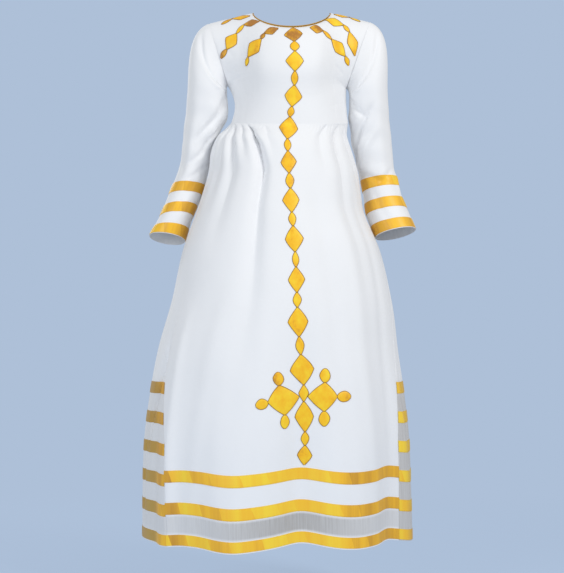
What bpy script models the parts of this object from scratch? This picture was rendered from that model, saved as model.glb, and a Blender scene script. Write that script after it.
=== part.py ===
"""A habesha kemis: a long white cotton dress with gold ribbon bands and a gold applique chain.

Metres, +Z up, the front faces -Y, and the viewer's right is +X. The origin lies midway between
the shoulders, level with the points where they meet the neck, because that is where a wearer
holds the dress. Every cut piece is a thin wall of its own, 0.3 mm from its neighbour at a seam.
"""

import math

import bmesh
import bpy
from mathutils import Vector
from mathutils.bvhtree import BVHTree

MM = 0.001

# Cloth and trims
CLOTH = 1.2 * MM
SEAM_GAP = 0.3 * MM
ARMHOLE_EASE = 0.4 * MM
LAY_GAP = 0.3 * MM
RIBBON_THICKNESS = 1.0 * MM
APPLIQUE_THICKNESS = 1.3 * MM
PIPING_RADIUS = 1.6 * MM
PIPING_SIDES = 5

# Bodice, as sewn
WAIST_Z = -275 * MM
WAIST_DIP = 20 * MM
WAIST_DIP_FADE = 240
NECK_CENTRE_X = 4 * MM
NECK_HALF_WIDTH = 98 * MM
FRONT_NECK = Vector((0, -88, -56)) * MM
BACK_NECK = Vector((0, 62, -20)) * MM
TIP = {-1: Vector((-204, 4, -27)) * MM, 1: Vector((200, 4, -23)) * MM}
ARMPIT = {-1: Vector((-156, 6, -182)) * MM, 1: Vector((142, 6, -188)) * MM}
ARMHOLE_FRONT = 44 * MM
ARMHOLE_BACK = 52 * MM
ARMHOLE_ROWS = 8
SIDE_SEAM_ROWS = 3
SHOULDER_COLUMNS = 4
FRONT_NECK_COLUMNS = 10
BACK_NECK_COLUMNS = 8
SIDE_NIP = {-1: Vector((13, 0, 0)) * MM, 1: Vector((-2, 0, 0)) * MM}
SIDE_FADE = 2.6
NECK_ROUNDNESS = 1.15
NECK_SET_BACK = 4 * MM

# How the panels fall from the shoulder: forward first, and down later
FORWARD_POWER = 2.4
DROP_POWER = 1.35

# The fullness of the front: its depth, then places as shares of the panel down and across
BUST_DEPTH = 9 * MM
BUST_DOWN = 0.58
BUST_HALF_HEIGHT = 0.24
BUST_ACROSS = (0.32, 0.68)
BUST_HALF_WIDTH = 0.17

# Ribbon bands
HEM_RIBBON = 28 * MM
FRONT_BAND_PITCH = 76 * MM
SIDE_BAND_PITCH = 71.5 * MM
FRONT_BANDS = 3
SIDE_BANDS = 6
CUFF_RIBBON = 28 * MM
CUFF_PITCH = 59 * MM
CUFF_BANDS = 3

HEM_Z = -1304 * MM
HEM_WAVE_DROP = 9 * MM
HEM_WAVE_TOP = -640 * MM

# Skirt sections: height, left edge, right edge, front depth, back depth, in mm
SKIRT_COLUMNS = ("z", "left", "right", "front", "back")
SKIRT = (
    (-275, -147, 145, 118, 98),
    (-292, -164, 144, 124, 104),
    (-308, -181, 144, 130, 108),
    (-348, -197, 157, 140, 116),
    (-398, -203, 172, 149, 126),
    (-448, -217, 179, 158, 136),
    (-500, -234, 187, 168, 147),
    (-598, -268, 226, 186, 168),
    (-718, -294, 251, 205, 192),
    (-838, -328, 264, 218, 212),
    (-958, -350, 281, 226, 226),
    (-1078, -364, 293, 231, 236),
    (-1304, -368, 299, 235, 242),
)
WIDEST_Y = -6 * MM
WIDEST_FADE = 60

# Where the panels' seams run: height in mm, then degrees from the side line towards the front
# on the left and on the right, and towards the back on both sides
SEAM_COLUMNS = ("z", "left_front", "right_front", "back")
SEAMS = (
    (-275, 5, 5, 12),
    (-696, 8, 8, 22),
    (-918.5, 29, 20, 32),
    (-1061.5, 38, 24, 37),
    (-1304, 41, 25, 40),
)

# Gathers: where each falls from the waist seam, in degrees round the waist from the left side
# by way of the front, how far it drifts, its depth and half width in mm, and where it ends
FOLD_COLUMNS = ("angle", "drift", "depth", "half_width", "bottom")
FOLDS = (
    (5, 8, 9, 9, -560),
    (14, 16, 11, 9, -520),
    (23, 24, 15, 11, -620),
    (35, 25, 12, 8, -390),
    (43.5, 31, 19, 10, -900),
    (64, 20, 5, 10, -430),
    (128, -6, 6, 10, -460),
    (147, -8, 7, 12, -840),
    (160, 2, 7, 10, -600),
    (173, 0, 9, 11, -660),
    (188, 0, 13, 11, -620),
    (203, 2, 15, 12, -780),
    (219, -2, 12, 12, -580),
    (236, 3, 16, 12, -840),
    (252, 0, 11, 12, -540),
    (268, -2, 16, 12, -880),
    (285, 2, 12, 12, -590),
    (301, -3, 16, 12, -800),
    (318, 2, 13, 12, -660),
    (333, 0, 11, 11, -580),
    (347, -1, 10, 11, -720),
)

# How far below the seam a gather is fully open, in mm, how much wider it is at its end, and in
# how many mm it drifts off
FOLD_RISE = 55
FOLD_SPREAD = 1.6
DRIFT_LENGTH = 32

# Waves of the hem: degrees round from the left side by way of the front, how far each stands
# out, and its half width, in mm
WAVE_COLUMNS = ("angle", "out", "half_width")
WAVES = (
    (38, 11, 38),
    (72, 22, 57),
    (101, -27, 50),
    (124, 10, 50),
    (147, -14, 42),
    (166, 10, 40),
    (196, -12, 60),
    (224, 22, 70),
    (252, -20, 60),
    (278, 20, 70),
    (306, -18, 60),
    (334, 16, 60),
)

HIGHEST_WAVE = 22

# Rows of the skirt panels from the waist down to where the bands take over, in mm
UPPER_ROWS = (-275, -286, -300, -318, -342, -374, -416, -468, -530, -606, -696, -796)
FRONT_ZONES = ((0.0, 0.30, 12), (0.30, 0.64, 8), (0.64, 1.0, 10))
BACK_COLUMNS = 22
SIDE_COLUMNS = 6

# Sleeve rings from under the arm to the cuff, in mm: the axis, the half width and half depth,
# how far the ring's outer edge is lifted by the slant of the forearm, and its front edge too
SLEEVE_COLUMNS = ("x", "y", "z", "half_width", "half_depth", "lift", "front_lift")
SLEEVE = {
    -1: (
        (-207, 8, -198, 50, 58, 0, 0),
        (-209, 14, -256, 53, 54, 0, 0),
        (-220, 18, -292, 47, 52, 1, 0),
        (-232, 22, -328, 38, 51, 2, 1),
        (-242, 27, -388, 37, 48, 3, 3),
        (-260, 25, -446, 42, 48, 1, 8),
        (-284, 18, -505, 42, 50, -2, 11),
        (-309, 22, -563, 45, 54, 6, 11),
    ),
    1: (
        (196.5, 8, -204, 48.5, 58, 0, 0),
        (198.5, 14, -262, 50.5, 54, 0, 0),
        (206, 22, -325, 50, 51, 2, 1),
        (216.5, 27, -388, 45.5, 48, 4, 3),
        (229, 25, -443, 45, 47, 7, 7),
        (243, 20, -496, 51, 50, 8, 10),
        (265, 14, -551, 51, 55, 10, 10),
    ),
}
SLEEVE_RING = 2 * ARMHOLE_ROWS
CAP_ROWS = 6
ARM_ROWS = 6
SLEEVE_FOLD_DEPTH = 3.5 * MM
SLEEVE_FOLD_PITCH = 62 * MM

# The applique chain down the front, in mm: the joint below each motif and the motif's width
CHAIN_TOP = (6, -58)
CHAIN_COLUMNS = ("kind", "width", "x", "z")
CHAIN = (
    ("lozenge", 46, 10, -95),
    ("oval", 24, 11, -120),
    ("lozenge", 44, 11, -169),
    ("oval", 18, 10, -202),
    ("lozenge", 43, 4, -253),
    ("oval", 17, -1, -278),
    ("lozenge", 47, -7, -334),
    ("oval", 18, -6, -364),
    ("lozenge", 38, -3, -418),
    ("oval", 21, 0, -455),
    ("lozenge", 41, 3, -513),
    ("oval", 19, 6, -546),
    ("lozenge", 45, 11, -608),
    ("oval", 17, 13, -644),
    ("lozenge", 40, 15, -704),
    ("oval", 21, 16, -739),
    ("lozenge", 49, 20, -808),
    ("oval", 21, 24, -850),
    ("lozenge", 58, 31, -921),
    ("hub", 21, 31, -960),
    ("lozenge", 46, 34, -1031),
    ("oval", 20, 34, -1063),
    ("lozenge", 37, 32, -1109),
)
# The cross's two arms: left, top, right and bottom joints of each lozenge, in mm
CROSS_ARMS = {
    "left": ((-53, -961), (-27, -922), (20, -949), (-13, -991)),
    "right": ((41, -948), (81, -916), (110, -949), (79, -983)),
}
# The small ovals round the cross: the joint each hangs on, its far end and its width, in mm
CROSS_OVALS = (
    ((-27, -922), (-30, -891), 26, "across"),
    ((-53, -961), (-81, -970), 26, "up"),
    ((-13, -991), (-14, -1023), 22, "across"),
    ((81, -916), (81, -883), 26, "across"),
    ((110, -949), (142, -949), 27, "up"),
    ((79, -983), (79, -1018), 27, "across"),
)
HALF_TIP = 2.2 * MM

# The chains that fan out from the neckline, in mm: joints down each chain, then its widths
NECK_CHAINS = {
    "left_inner": (
        ((-29, -93, -60), (-63, -93, -71), (-71, -98, -85), (-101, -82, -127), (-106, -78, -148)),
        (24, 12, 38, 13),
    ),
    "left_middle": (
        ((-76, -58, -36), (-113, -48, -41), (-132, -53, -63), (-156, -50, -101), (-171, -39, -121)),
        (24, 12, 34, 13),
    ),
    "left_shoulder": (((-99, -27, -15), (-144, -15, -19), (-170, -24, -35)), (24, 12)),
    "right_inner": (
        ((48, -89, -57), (80, -84, -62), (99, -75, -83), (135, -57, -119), (144, -45, -140)),
        (26, 12, 32, 13),
    ),
    "right_middle": (((84, -45, -30), (131, -41, -40), (146, -45, -58), (159, -42, -116)), (31, 12, 27)),
    "right_shoulder": (((109, -15, -8), (147, -6, -14), (174, -17, -26)), (24, 12)),
}
NECK_MOTIFS = ("lozenge", "oval", "lozenge", "oval")

# Colours, as linear RGB
WHITE_COTTON = (0.83, 0.85, 0.87)
GOLD_RIBBON = (0.90, 0.52, 0.05)
GOLD_APPLIQUE = (0.84, 0.44, 0.04)
GOLD_PIPING = (0.62, 0.33, 0.05)

LEFT, RIGHT = -1, 1
SIDE_NAMES = {LEFT: "left", RIGHT: "right"}


def blend(low, high, share):
    return low + (high - low) * share


def smooth(share):
    share = min(1.0, max(0.0, share))
    return share * share * (3 - 2 * share)


def bell(away, half_width):
    return math.exp(-((away / half_width) ** 2))


def table_row(rows, height):
    """The row of a table at a height in mm, with every other column run smoothly between rows."""
    if height >= rows[0][0]:
        return rows[0]
    if height <= rows[-1][0]:
        return rows[-1]
    k = next(k for k in range(len(rows) - 1) if rows[k + 1][0] <= height)
    above, below = rows[k], rows[k + 1]
    before = rows[k - 1] if k > 0 else above
    after = rows[k + 2] if k + 2 < len(rows) else below
    step = below[0] - above[0]
    share = (height - above[0]) / step
    result = [height]
    for column in range(1, len(above)):
        start_slope = step * (below[column] - before[column]) / (below[0] - before[0])
        end_slope = step * (after[column] - above[column]) / (after[0] - above[0])
        result.append(
            (2 * share**3 - 3 * share**2 + 1) * above[column]
            + (share**3 - 2 * share**2 + share) * start_slope
            + (3 * share**2 - 2 * share**3) * below[column]
            + (share**3 - share**2) * end_slope
        )
    return result


class Sheet:
    """The outer face of a cut piece: rows from its top down, columns anticlockwise from above."""

    def __init__(self, rows, closed=False, normals=None):
        self.rows = rows
        self.closed = closed
        self.normals = normals or [
            [self.find_normal(r, c) for c in range(len(rows[0]))] for r in range(len(rows))
        ]

    def find_normal(self, r, c):
        rows, width = self.rows, len(self.rows[0])
        down = rows[min(r + 1, len(rows) - 1)][c] - rows[max(r - 1, 0)][c]
        if self.closed:
            across = rows[r][(c + 1) % width] - rows[r][c - 1]
        else:
            across = rows[r][min(c + 1, width - 1)] - rows[r][max(c - 1, 0)]
        return down.cross(across).normalized()

    def trim(self, top=False, bottom=False, ends=False, back=SEAM_GAP / 2):
        """Draw the edges that are sewn back from their seam, by half a seam gap or as stated."""
        rows = self.rows
        fresh = [[point.copy() for point in row] for row in rows]
        for r, row in enumerate(rows):
            for c, point in enumerate(row):
                if top and r == 0:
                    fresh[r][c] += (rows[1][c] - point).normalized() * back
                if bottom and r == len(rows) - 1:
                    fresh[r][c] += (rows[-2][c] - point).normalized() * back
                if ends and c == 0:
                    fresh[r][c] += (row[1] - point).normalized() * back
                if ends and c == len(row) - 1:
                    fresh[r][c] += (row[-2] - point).normalized() * back
        self.rows = fresh

    def part(self, first, last):
        """The stretch of this sheet between two of its rows."""
        return Sheet(self.rows[first : last + 1], self.closed, self.normals[first : last + 1])

    def triangles(self):
        """Every triangle, each corner as its place and its outward normal."""
        width = len(self.rows[0])
        for r in range(len(self.rows) - 1):
            for c in range(width if self.closed else width - 1):
                d = (c + 1) % width
                corners = [
                    (self.rows[i][j], self.normals[i][j]) for i, j in ((r, c), (r + 1, c), (r + 1, d), (r, d))
                ]
                yield corners[0], corners[1], corners[2]
                yield corners[0], corners[2], corners[3]


def share_normals(sheets):
    """Where sheets meet at a seam, give them one normal, so that their walls stay apart."""
    meeting = {}
    for sheet in sheets:
        for r, row in enumerate(sheet.rows):
            for c, point in enumerate(row):
                spot = tuple(round(value / (0.2 * MM)) for value in point)
                meeting.setdefault(spot, []).append((sheet, r, c))
    for places in meeting.values():
        open_sheets = sum(not sheet.closed for sheet, _, _ in places)
        total = Vector()
        for sheet, r, c in places:
            total += sheet.normals[r][c] * (max(1, open_sheets) if sheet.closed else 1)
        for sheet, r, c in places:
            sheet.normals[r][c] = total.normalized()


def fabric(name, colour, roughness, metallic=0.0):
    material = bpy.data.materials.new(name)
    material.use_nodes = True
    shader = material.node_tree.nodes["Principled BSDF"]
    shader.inputs["Base Color"].default_value = (*colour, 1.0)
    shader.inputs["Roughness"].default_value = roughness
    shader.inputs["Metallic"].default_value = metallic
    material.diffuse_color = (*colour, 1.0)
    return material


FINISHES = {
    "cotton": (WHITE_COTTON, 0.7),
    "ribbon": (GOLD_RIBBON, 0.35),
    "applique": (GOLD_APPLIQUE, 0.5),
    "piping": (GOLD_PIPING, 0.5),
}


def wall(name, polygons, low, high, finish):
    """A closed wall between two distances out from a sheet, given as polygons of corners."""
    sheet = bmesh.new()
    outward = sheet.verts.layers.float_vector.new("outward")
    for polygon in polygons:
        corners = []
        for place, normal in polygon:
            corner = sheet.verts.new(place)
            corner[outward] = normal
            corners.append(corner)
        sheet.faces.new(corners)
    bmesh.ops.remove_doubles(sheet, verts=sheet.verts, dist=0.004 * MM)
    bmesh.ops.dissolve_degenerate(sheet, edges=sheet.edges, dist=0.004 * MM)
    bmesh.ops.triangulate(sheet, faces=sheet.faces)
    sheet.verts.index_update()
    count = len(sheet.verts)
    normals = [corner[outward].normalized() for corner in sheet.verts]
    points = [corner.co + normal * high for corner, normal in zip(sheet.verts, normals)]
    points += [corner.co + normal * low for corner, normal in zip(sheet.verts, normals)]
    faces = []
    for face in sheet.faces:
        ring = [corner.index for corner in face.verts]
        faces.append(ring)
        faces.append([index + count for index in reversed(ring)])
    for edge in sheet.edges:
        if edge.is_boundary:
            loop = edge.link_loops[0]
            start, end = loop.vert.index, loop.link_loop_next.vert.index
            faces.append([end, start, start + count, end + count])
    sheet.free()
    return add_object(name, points, faces, finish)


def add_object(name, points, faces, finish):
    mesh = bpy.data.meshes.new(name)
    mesh.from_pydata(points, [], faces)
    mesh.update()
    mesh.shade_smooth()
    mesh.set_sharp_from_angle(angle=math.radians(50))
    item = bpy.data.objects.new(name, mesh)
    bpy.context.scene.collection.objects.link(item)
    item.data.materials.append(fabric(f"{name}_{finish}", *FINISHES[finish]))
    return item


def skirt_point(angle, height):
    """A point on the skirt: degrees from the left side by way of the front, height in mm."""
    section = dict(zip(SKIRT_COLUMNS, table_row(SKIRT, height)))
    turn = math.radians(180 + angle)
    centre = (section["left"] + section["right"]) / 2
    half_width = (section["right"] - section["left"]) / 2
    depth = section["front"] if angle <= 180 else section["back"]
    point = Vector((centre + half_width * math.cos(turn), depth * math.sin(turn), height)) * MM
    point.y += WIDEST_Y * smooth((WAIST_Z / MM - height) / WIDEST_FADE)
    out = Vector((depth * math.cos(turn), half_width * math.sin(turn), 0)).normalized()
    girth = math.radians(1) * (half_width + depth) / 2
    fade = smooth((HEM_WAVE_TOP / MM - height) / ((HEM_WAVE_TOP - HEM_Z) / MM))
    shift = gathers(angle, height, girth) + fade * hem_wave(angle, girth)
    point += out * shift * MM
    dip = 1 - smooth((WAIST_Z / MM - height) / WAIST_DIP_FADE)
    point.z -= WAIST_DIP * dip * max(0.0, -math.sin(turn))
    point.z -= HEM_WAVE_DROP * fade * hem_wave(angle, girth) / HIGHEST_WAVE
    return point


def nearest_turn(angle, centre):
    return (angle - centre + 180) % 360 - 180


def gathers(angle, height, girth):
    """How far the gathers draw the cloth in or out, in mm."""
    shift = 0.0
    top = WAIST_Z / MM
    for row in FOLDS:
        fold = dict(zip(FOLD_COLUMNS, row))
        share = (top - height) / (top - fold["bottom"])
        if not 0 < share < 1:
            continue
        drifted = 1 - math.exp((height - top) / DRIFT_LENGTH)
        away = nearest_turn(angle, fold["angle"] + fold["drift"] * drifted) * girth
        spread = fold["half_width"] * (1 + FOLD_SPREAD * share)
        rise = smooth(share * (top - fold["bottom"]) / FOLD_RISE) * (1 - share)
        shift -= fold["depth"] * rise * bell(away, spread)
    return shift


def hem_wave(angle, girth):
    shift = 0.0
    for row in WAVES:
        wave = dict(zip(WAVE_COLUMNS, row))
        away = nearest_turn(angle, wave["angle"]) * girth
        shift += wave["out"] * bell(away, wave["half_width"])
    return shift


def band_rows(pitch, count):
    """The heights of the ribbons' edges above the hem, from the top one down, in mm."""
    rows = []
    for k in reversed(range(count)):
        rows += [(HEM_Z + k * pitch + HEM_RIBBON) / MM, (HEM_Z + k * pitch) / MM]
    return rows


def seam_angles(height):
    below = next(k for k, row in enumerate(SEAMS) if row[0] <= height) or 1
    high, low = SEAMS[below - 1], SEAMS[below]
    share = (height - high[0]) / (low[0] - high[0])
    seams = {name: blend(a, b, share) for name, a, b in zip(SEAM_COLUMNS, high, low)}
    return {
        "front": (seams["left_front"], 180 - seams["right_front"]),
        "right": (180 - seams["right_front"], 180 + seams["back"]),
        "back": (180 + seams["back"], 360 - seams["back"]),
        "left": (360 - seams["back"], 360 + seams["left_front"]),
    }


def skirt_normal(angle, height):
    """The outward normal, level along the waist seam, where the bodice goes on straight up."""
    across = skirt_point((angle + 0.5) % 360, height) - skirt_point((angle - 0.5) % 360, height)
    top = WAIST_Z / MM
    down = skirt_point(angle % 360, height - 3) - skirt_point(angle % 360, min(top, height + 3))
    normal = Vector((0, 0, -1)).cross(across) if height == top else down.cross(across)
    normal.z = 0 if height == top else normal.z
    return normal.normalized()


def skirt_sheet(side, heights, shares):
    rows, normals = [], []
    for height in heights:
        start, end = seam_angles(height)[side]
        angles = [blend(start, end, share) for share in shares]
        rows.append([skirt_point(angle % 360, height) for angle in angles])
        normals.append([skirt_normal(angle, height) for angle in angles])
    return Sheet(rows, normals=normals)


def even_shares(count):
    return [k / count for k in range(count + 1)]


def zone_shares(zones):
    shares = [0.0]
    for start, end, count in zones:
        shares += [blend(start, end, (k + 1) / count) for k in range(count)]
    return shares


def waist_point(angle):
    return skirt_point(angle % 360, WAIST_Z / MM)


def armhole_point(side, turn):
    """A point on an armhole, turned from the shoulder tip by way of the front, in radians."""
    tip, pit = TIP[side], ARMPIT[side]
    depth = ARMHOLE_FRONT if math.sin(turn) >= 0 else ARMHOLE_BACK
    forward = Vector((0, -depth * math.sin(turn), 0))
    return (tip + pit) / 2 + (tip - pit) / 2 * math.cos(turn) + forward


def neck_point(share, low_point):
    """A point on the neckline, from its left end to its right, dipping to its lowest point."""
    turn = math.pi * share
    side_way = Vector((NECK_CENTRE_X - NECK_HALF_WIDTH * math.cos(turn), 0, 0))
    set_back = Vector((0, NECK_SET_BACK * (1 - math.sin(turn)), 0))
    return side_way + low_point * math.sin(turn) ** NECK_ROUNDNESS + set_back


def bodice_top(low_point, neck_columns):
    """The top edge from the left shoulder tip over the neckline to the right one."""
    left_neck, right_neck = neck_point(0, low_point), neck_point(1, low_point)
    edge = [blend(TIP[LEFT], left_neck, k / SHOULDER_COLUMNS) for k in range(SHOULDER_COLUMNS)]
    edge += [neck_point(k / neck_columns, low_point) for k in range(neck_columns)]
    edge += [blend(right_neck, TIP[RIGHT], k / SHOULDER_COLUMNS) for k in range(SHOULDER_COLUMNS + 1)]
    return edge


def bodice_side(side, front):
    """A side edge from the shoulder tip down the armhole and the side seam to the waist."""
    way = 1 if front else -1
    edge = [armhole_point(side, way * math.pi * k / ARMHOLE_ROWS) for k in range(ARMHOLE_ROWS + 1)]
    waist = waist_point(0 if side == LEFT else 180)
    for k in range(SIDE_SEAM_ROWS):
        share = (k + 1) / SIDE_SEAM_ROWS
        edge.append(blend(ARMPIT[side], waist, share) + SIDE_NIP[side] * math.sin(math.pi * share))
    return edge


def fall(start, end, down):
    """Between two points, out over the shoulder first and then down."""
    forward, drop = 1 - (1 - down) ** FORWARD_POWER, down**DROP_POWER
    return Vector((blend(start.x, end.x, down), blend(start.y, end.y, forward), blend(start.z, end.z, drop)))


def bodice_sheet(front):
    """A bodice panel run between its neckline, armholes, side seams and waist seam."""
    neck_columns = FRONT_NECK_COLUMNS if front else BACK_NECK_COLUMNS
    top = bodice_top(FRONT_NECK if front else BACK_NECK, neck_columns)
    sides = bodice_side(LEFT, front), bodice_side(RIGHT, front)
    last_row, last_column = len(sides[0]) - 1, len(top) - 1
    rows = []
    for r in range(last_row + 1):
        down = r / last_row
        row = []
        for c in range(last_column + 1):
            across = c / last_column
            bottom = waist_point(180 * across if front else -180 * across)
            point = fall(top[c], bottom, down)
            for side, near, corner in ((0, 1 - across, 0), (1, across, last_column)):
                corner_waist = waist_point(0 if side == 0 else 180)
                drift = sides[side][r] - fall(top[corner], corner_waist, down)
                point = point + drift * near**SIDE_FADE
            if front:
                point.y -= bust(across, down)
            row.append(point)
        rows.append(row if front else row[::-1])
    sheet = Sheet(rows)
    for normal in sheet.normals[-1]:
        normal.z = 0
        normal.normalize()
    return sheet


def bust(across, down):
    """The soft fullness that the front's darts give."""
    height = bell(down - BUST_DOWN, BUST_HALF_HEIGHT) * 16 * down * (1 - down) * across * (1 - across)
    return BUST_DEPTH * height * sum(bell(across - middle, BUST_HALF_WIDTH) for middle in BUST_ACROSS)


def arm_ring(side, row, turn):
    """A point on a sleeve ring, turned from its outer side by way of the front."""
    ring = dict(zip(SLEEVE_COLUMNS, row))
    out = Vector((side * ring["half_width"], 0, ring["lift"])) * math.cos(turn)
    forward = Vector((0, -ring["half_depth"], ring["front_lift"])) * math.sin(turn)
    return (Vector((ring["x"], ring["y"], ring["z"])) + out + forward) * MM


def arm_row(side, distance):
    """The row of the sleeve's table at a distance along its axis from the first ring, in mm."""
    rows = SLEEVE[side]
    lengths = [0.0]
    for above, below in zip(rows, rows[1:]):
        lengths.append(lengths[-1] + (Vector(below[:3]) - Vector(above[:3])).length)
    downward = [(-length, *row) for length, row in zip(lengths, rows)]
    return table_row(downward, -distance)[1:], lengths[-1]


def sleeve_distances(side):
    """Where the rings of a sleeve lie: even ones, then one at each edge of a ribbon."""
    length = arm_row(side, 0)[1]
    edges = []
    for k in reversed(range(CUFF_BANDS)):
        edges += [length - k * CUFF_PITCH / MM - CUFF_RIBBON / MM, length - k * CUFF_PITCH / MM]
    return [edges[0] * k / ARM_ROWS for k in range(ARM_ROWS)] + edges


def sleeve_fold(side, turn, distance):
    """Slanting drag lines that run round the sleeve from under the arm."""
    wave = math.sin(2 * math.pi * (distance * MM + side * turn * 14 * MM) / SLEEVE_FOLD_PITCH)
    inner = 0.35 + 0.65 * (0.5 - 0.5 * math.cos(turn))
    fade = smooth(distance / 50) * (1 - smooth((distance - 170) / 90))
    return SLEEVE_FOLD_DEPTH * wave * inner * fade


def sleeve_sheet(side):
    turns = [2 * math.pi * k / SLEEVE_RING for k in range(SLEEVE_RING)]
    if side == RIGHT:
        turns = [-turn for turn in turns]
    first = SLEEVE[side][0]
    second = arm_row(side, 40)[0]
    rows = []
    for r in range(CAP_ROWS):
        share = r / CAP_ROWS
        row = []
        for turn in turns:
            start, end = armhole_point(side, turn), arm_ring(side, first, turn)
            span = (end - start).length
            over = 0.5 + 0.5 * math.cos(turn)
            leave = Vector((side * blend(0.75, 1.0, over), 0, blend(-0.66, -0.38, over))).normalized()
            arrive = (arm_ring(side, second, turn) - end).normalized()
            row.append(
                start * (2 * share**3 - 3 * share**2 + 1)
                + leave * span * (share**3 - 2 * share**2 + share)
                + end * (3 * share**2 - 2 * share**3)
                + arrive * span * (share**3 - share**2)
            )
        rows.append(row)
    for distance in sleeve_distances(side):
        ring, _ = arm_row(side, distance)
        centre = Vector(ring[:3]) * MM
        row = []
        for turn in turns:
            point = arm_ring(side, ring, turn)
            row.append(point + (point - centre).normalized() * sleeve_fold(side, turn, distance))
        rows.append(row)
    return Sheet(rows, closed=True)


def clip(polygon, cell):
    """The part of a polygon inside a convex cell; a corner is its place, normal and flat spot."""
    for k, start in enumerate(cell):
        edge = cell[(k + 1) % len(cell)] - start
        kept = []
        for i, corner in enumerate(polygon):
            other = polygon[i - 1]
            inside = edge.x * (corner[2] - start).y - edge.y * (corner[2] - start).x
            before = edge.x * (other[2] - start).y - edge.y * (other[2] - start).x
            if (inside >= 0) != (before >= 0):
                share = before / (before - inside)
                kept.append(tuple(blend(a, b, share) for a, b in zip(other, corner)))
            if inside >= 0:
                kept.append(corner)
        polygon = kept
    return polygon


def motif_cell(kind, start, end, width, tip_way, end_way=None):
    """A motif's outline between two joints, each a short flat tip so that a chain is one piece."""
    along = end - start
    end_way = end_way or tip_way
    side_way = Vector((-along.y, along.x)).normalized()
    if side_way.dot(tip_way) < 0:
        side_way = -side_way
    spots = {"lozenge": ((0.5, 1.0),), "oval": ((0.22, 0.8), (0.5, 1.0), (0.78, 0.8))}[kind]
    one_side = [start + tip_way * HALF_TIP]
    one_side += [start + along * at + side_way * width / 2 * reach for at, reach in spots]
    one_side.append(end + end_way * HALF_TIP)
    other_side = [end - end_way * HALF_TIP]
    other_side += [start + along * at - side_way * width / 2 * reach for at, reach in reversed(spots)]
    other_side.append(start - tip_way * HALF_TIP)
    return anticlockwise(one_side + other_side)


def anticlockwise(cell):
    area = sum(a.x * b.y - b.x * a.y for a, b in zip(cell, cell[1:] + cell[:1]))
    return cell if area > 0 else cell[::-1]


def plan(spot):
    return Vector(spot) * MM


def four_joints(left, top, right, bottom):
    """A cell whose four tips are short flats, level at top and bottom and upright at the sides."""
    level, upright = Vector((HALF_TIP, 0)), Vector((0, HALF_TIP))
    return [
        top + level, top - level, left + upright, left - upright,
        bottom - level, bottom + level, right - upright, right + upright,
    ]


def chain_cells():
    """The cells of the front chain and its cross, drawn flat as seen from the front."""
    level, upright = Vector((1, 0)), Vector((0, 1))
    cells = []
    start = plan(CHAIN_TOP)
    for row in CHAIN:
        motif = dict(zip(CHAIN_COLUMNS, row))
        end = plan((motif["x"], motif["z"]))
        if motif["kind"] == "hub":
            left, right = plan(CROSS_ARMS["left"][2]), plan(CROSS_ARMS["right"][0])
            cells.append(four_joints(left, start, right, end))
        else:
            cells.append(motif_cell(motif["kind"], start, end, motif["width"] * MM, level))
        start = end
    for arm in CROSS_ARMS.values():
        cells.append(four_joints(*(plan(spot) for spot in arm)))
    for joint, far, width, way in CROSS_OVALS:
        tip_way = level if way == "across" else upright
        cells.append(motif_cell("oval", plan(joint), plan(far), width * MM, tip_way))
    return cells


def applique(name, sheet, cells, across, up):
    """Motifs cut from the points of a sheet, seen along the normal of a plane, and moved out."""
    facing = up.cross(-across)
    polygons = []
    for triangle in sheet.triangles():
        face_way = (triangle[1][0] - triangle[0][0]).cross(triangle[2][0] - triangle[0][0])
        if face_way.dot(facing) <= 0:
            continue
        flat = [(place, normal, Vector((place.dot(across), place.dot(up)))) for place, normal in triangle]
        for cell in cells:
            piece = clip(flat, cell)
            if len(piece) > 2:
                polygons.append([(place, normal) for place, normal, _ in piece])
    return wall(name, polygons, LAY_GAP, LAY_GAP + APPLIQUE_THICKNESS, "applique")


def neck_chain(name, sheet, joints, widths):
    """A chain on the shoulder, drawn on the plane that best faces its stretch of the bodice."""
    polygons = [list(corner[0] for corner in triangle) for triangle in sheet.triangles()]
    corners = [corner for polygon in polygons for corner in polygon]
    tree = BVHTree.FromPolygons(corners, [(k, k + 1, k + 2) for k in range(0, len(corners), 3)])
    spots, facing = [], Vector()
    for joint in joints:
        place, normal, _, _ = tree.find_nearest(Vector(joint) * MM)
        spots.append(place)
        facing += normal if normal.y < 0 else -normal
    facing.normalize()
    run = spots[-1] - spots[0]
    up = (run - facing * run.dot(facing)).normalized()
    across = up.cross(facing)
    flat_spots = [Vector((spot.dot(across), spot.dot(up))) for spot in spots]
    last = len(flat_spots) - 1
    ways = []
    for k in range(last + 1):
        along = flat_spots[min(k + 1, last)] - flat_spots[max(k - 1, 0)]
        ways.append(Vector((-along.y, along.x)).normalized())
    cells = []
    for k, width in enumerate(widths):
        start, end = flat_spots[k], flat_spots[k + 1]
        cells.append(motif_cell(NECK_MOTIFS[k], start, end, width * MM, ways[k], ways[k + 1]))
    applique(name, sheet, cells, across, up)


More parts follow.
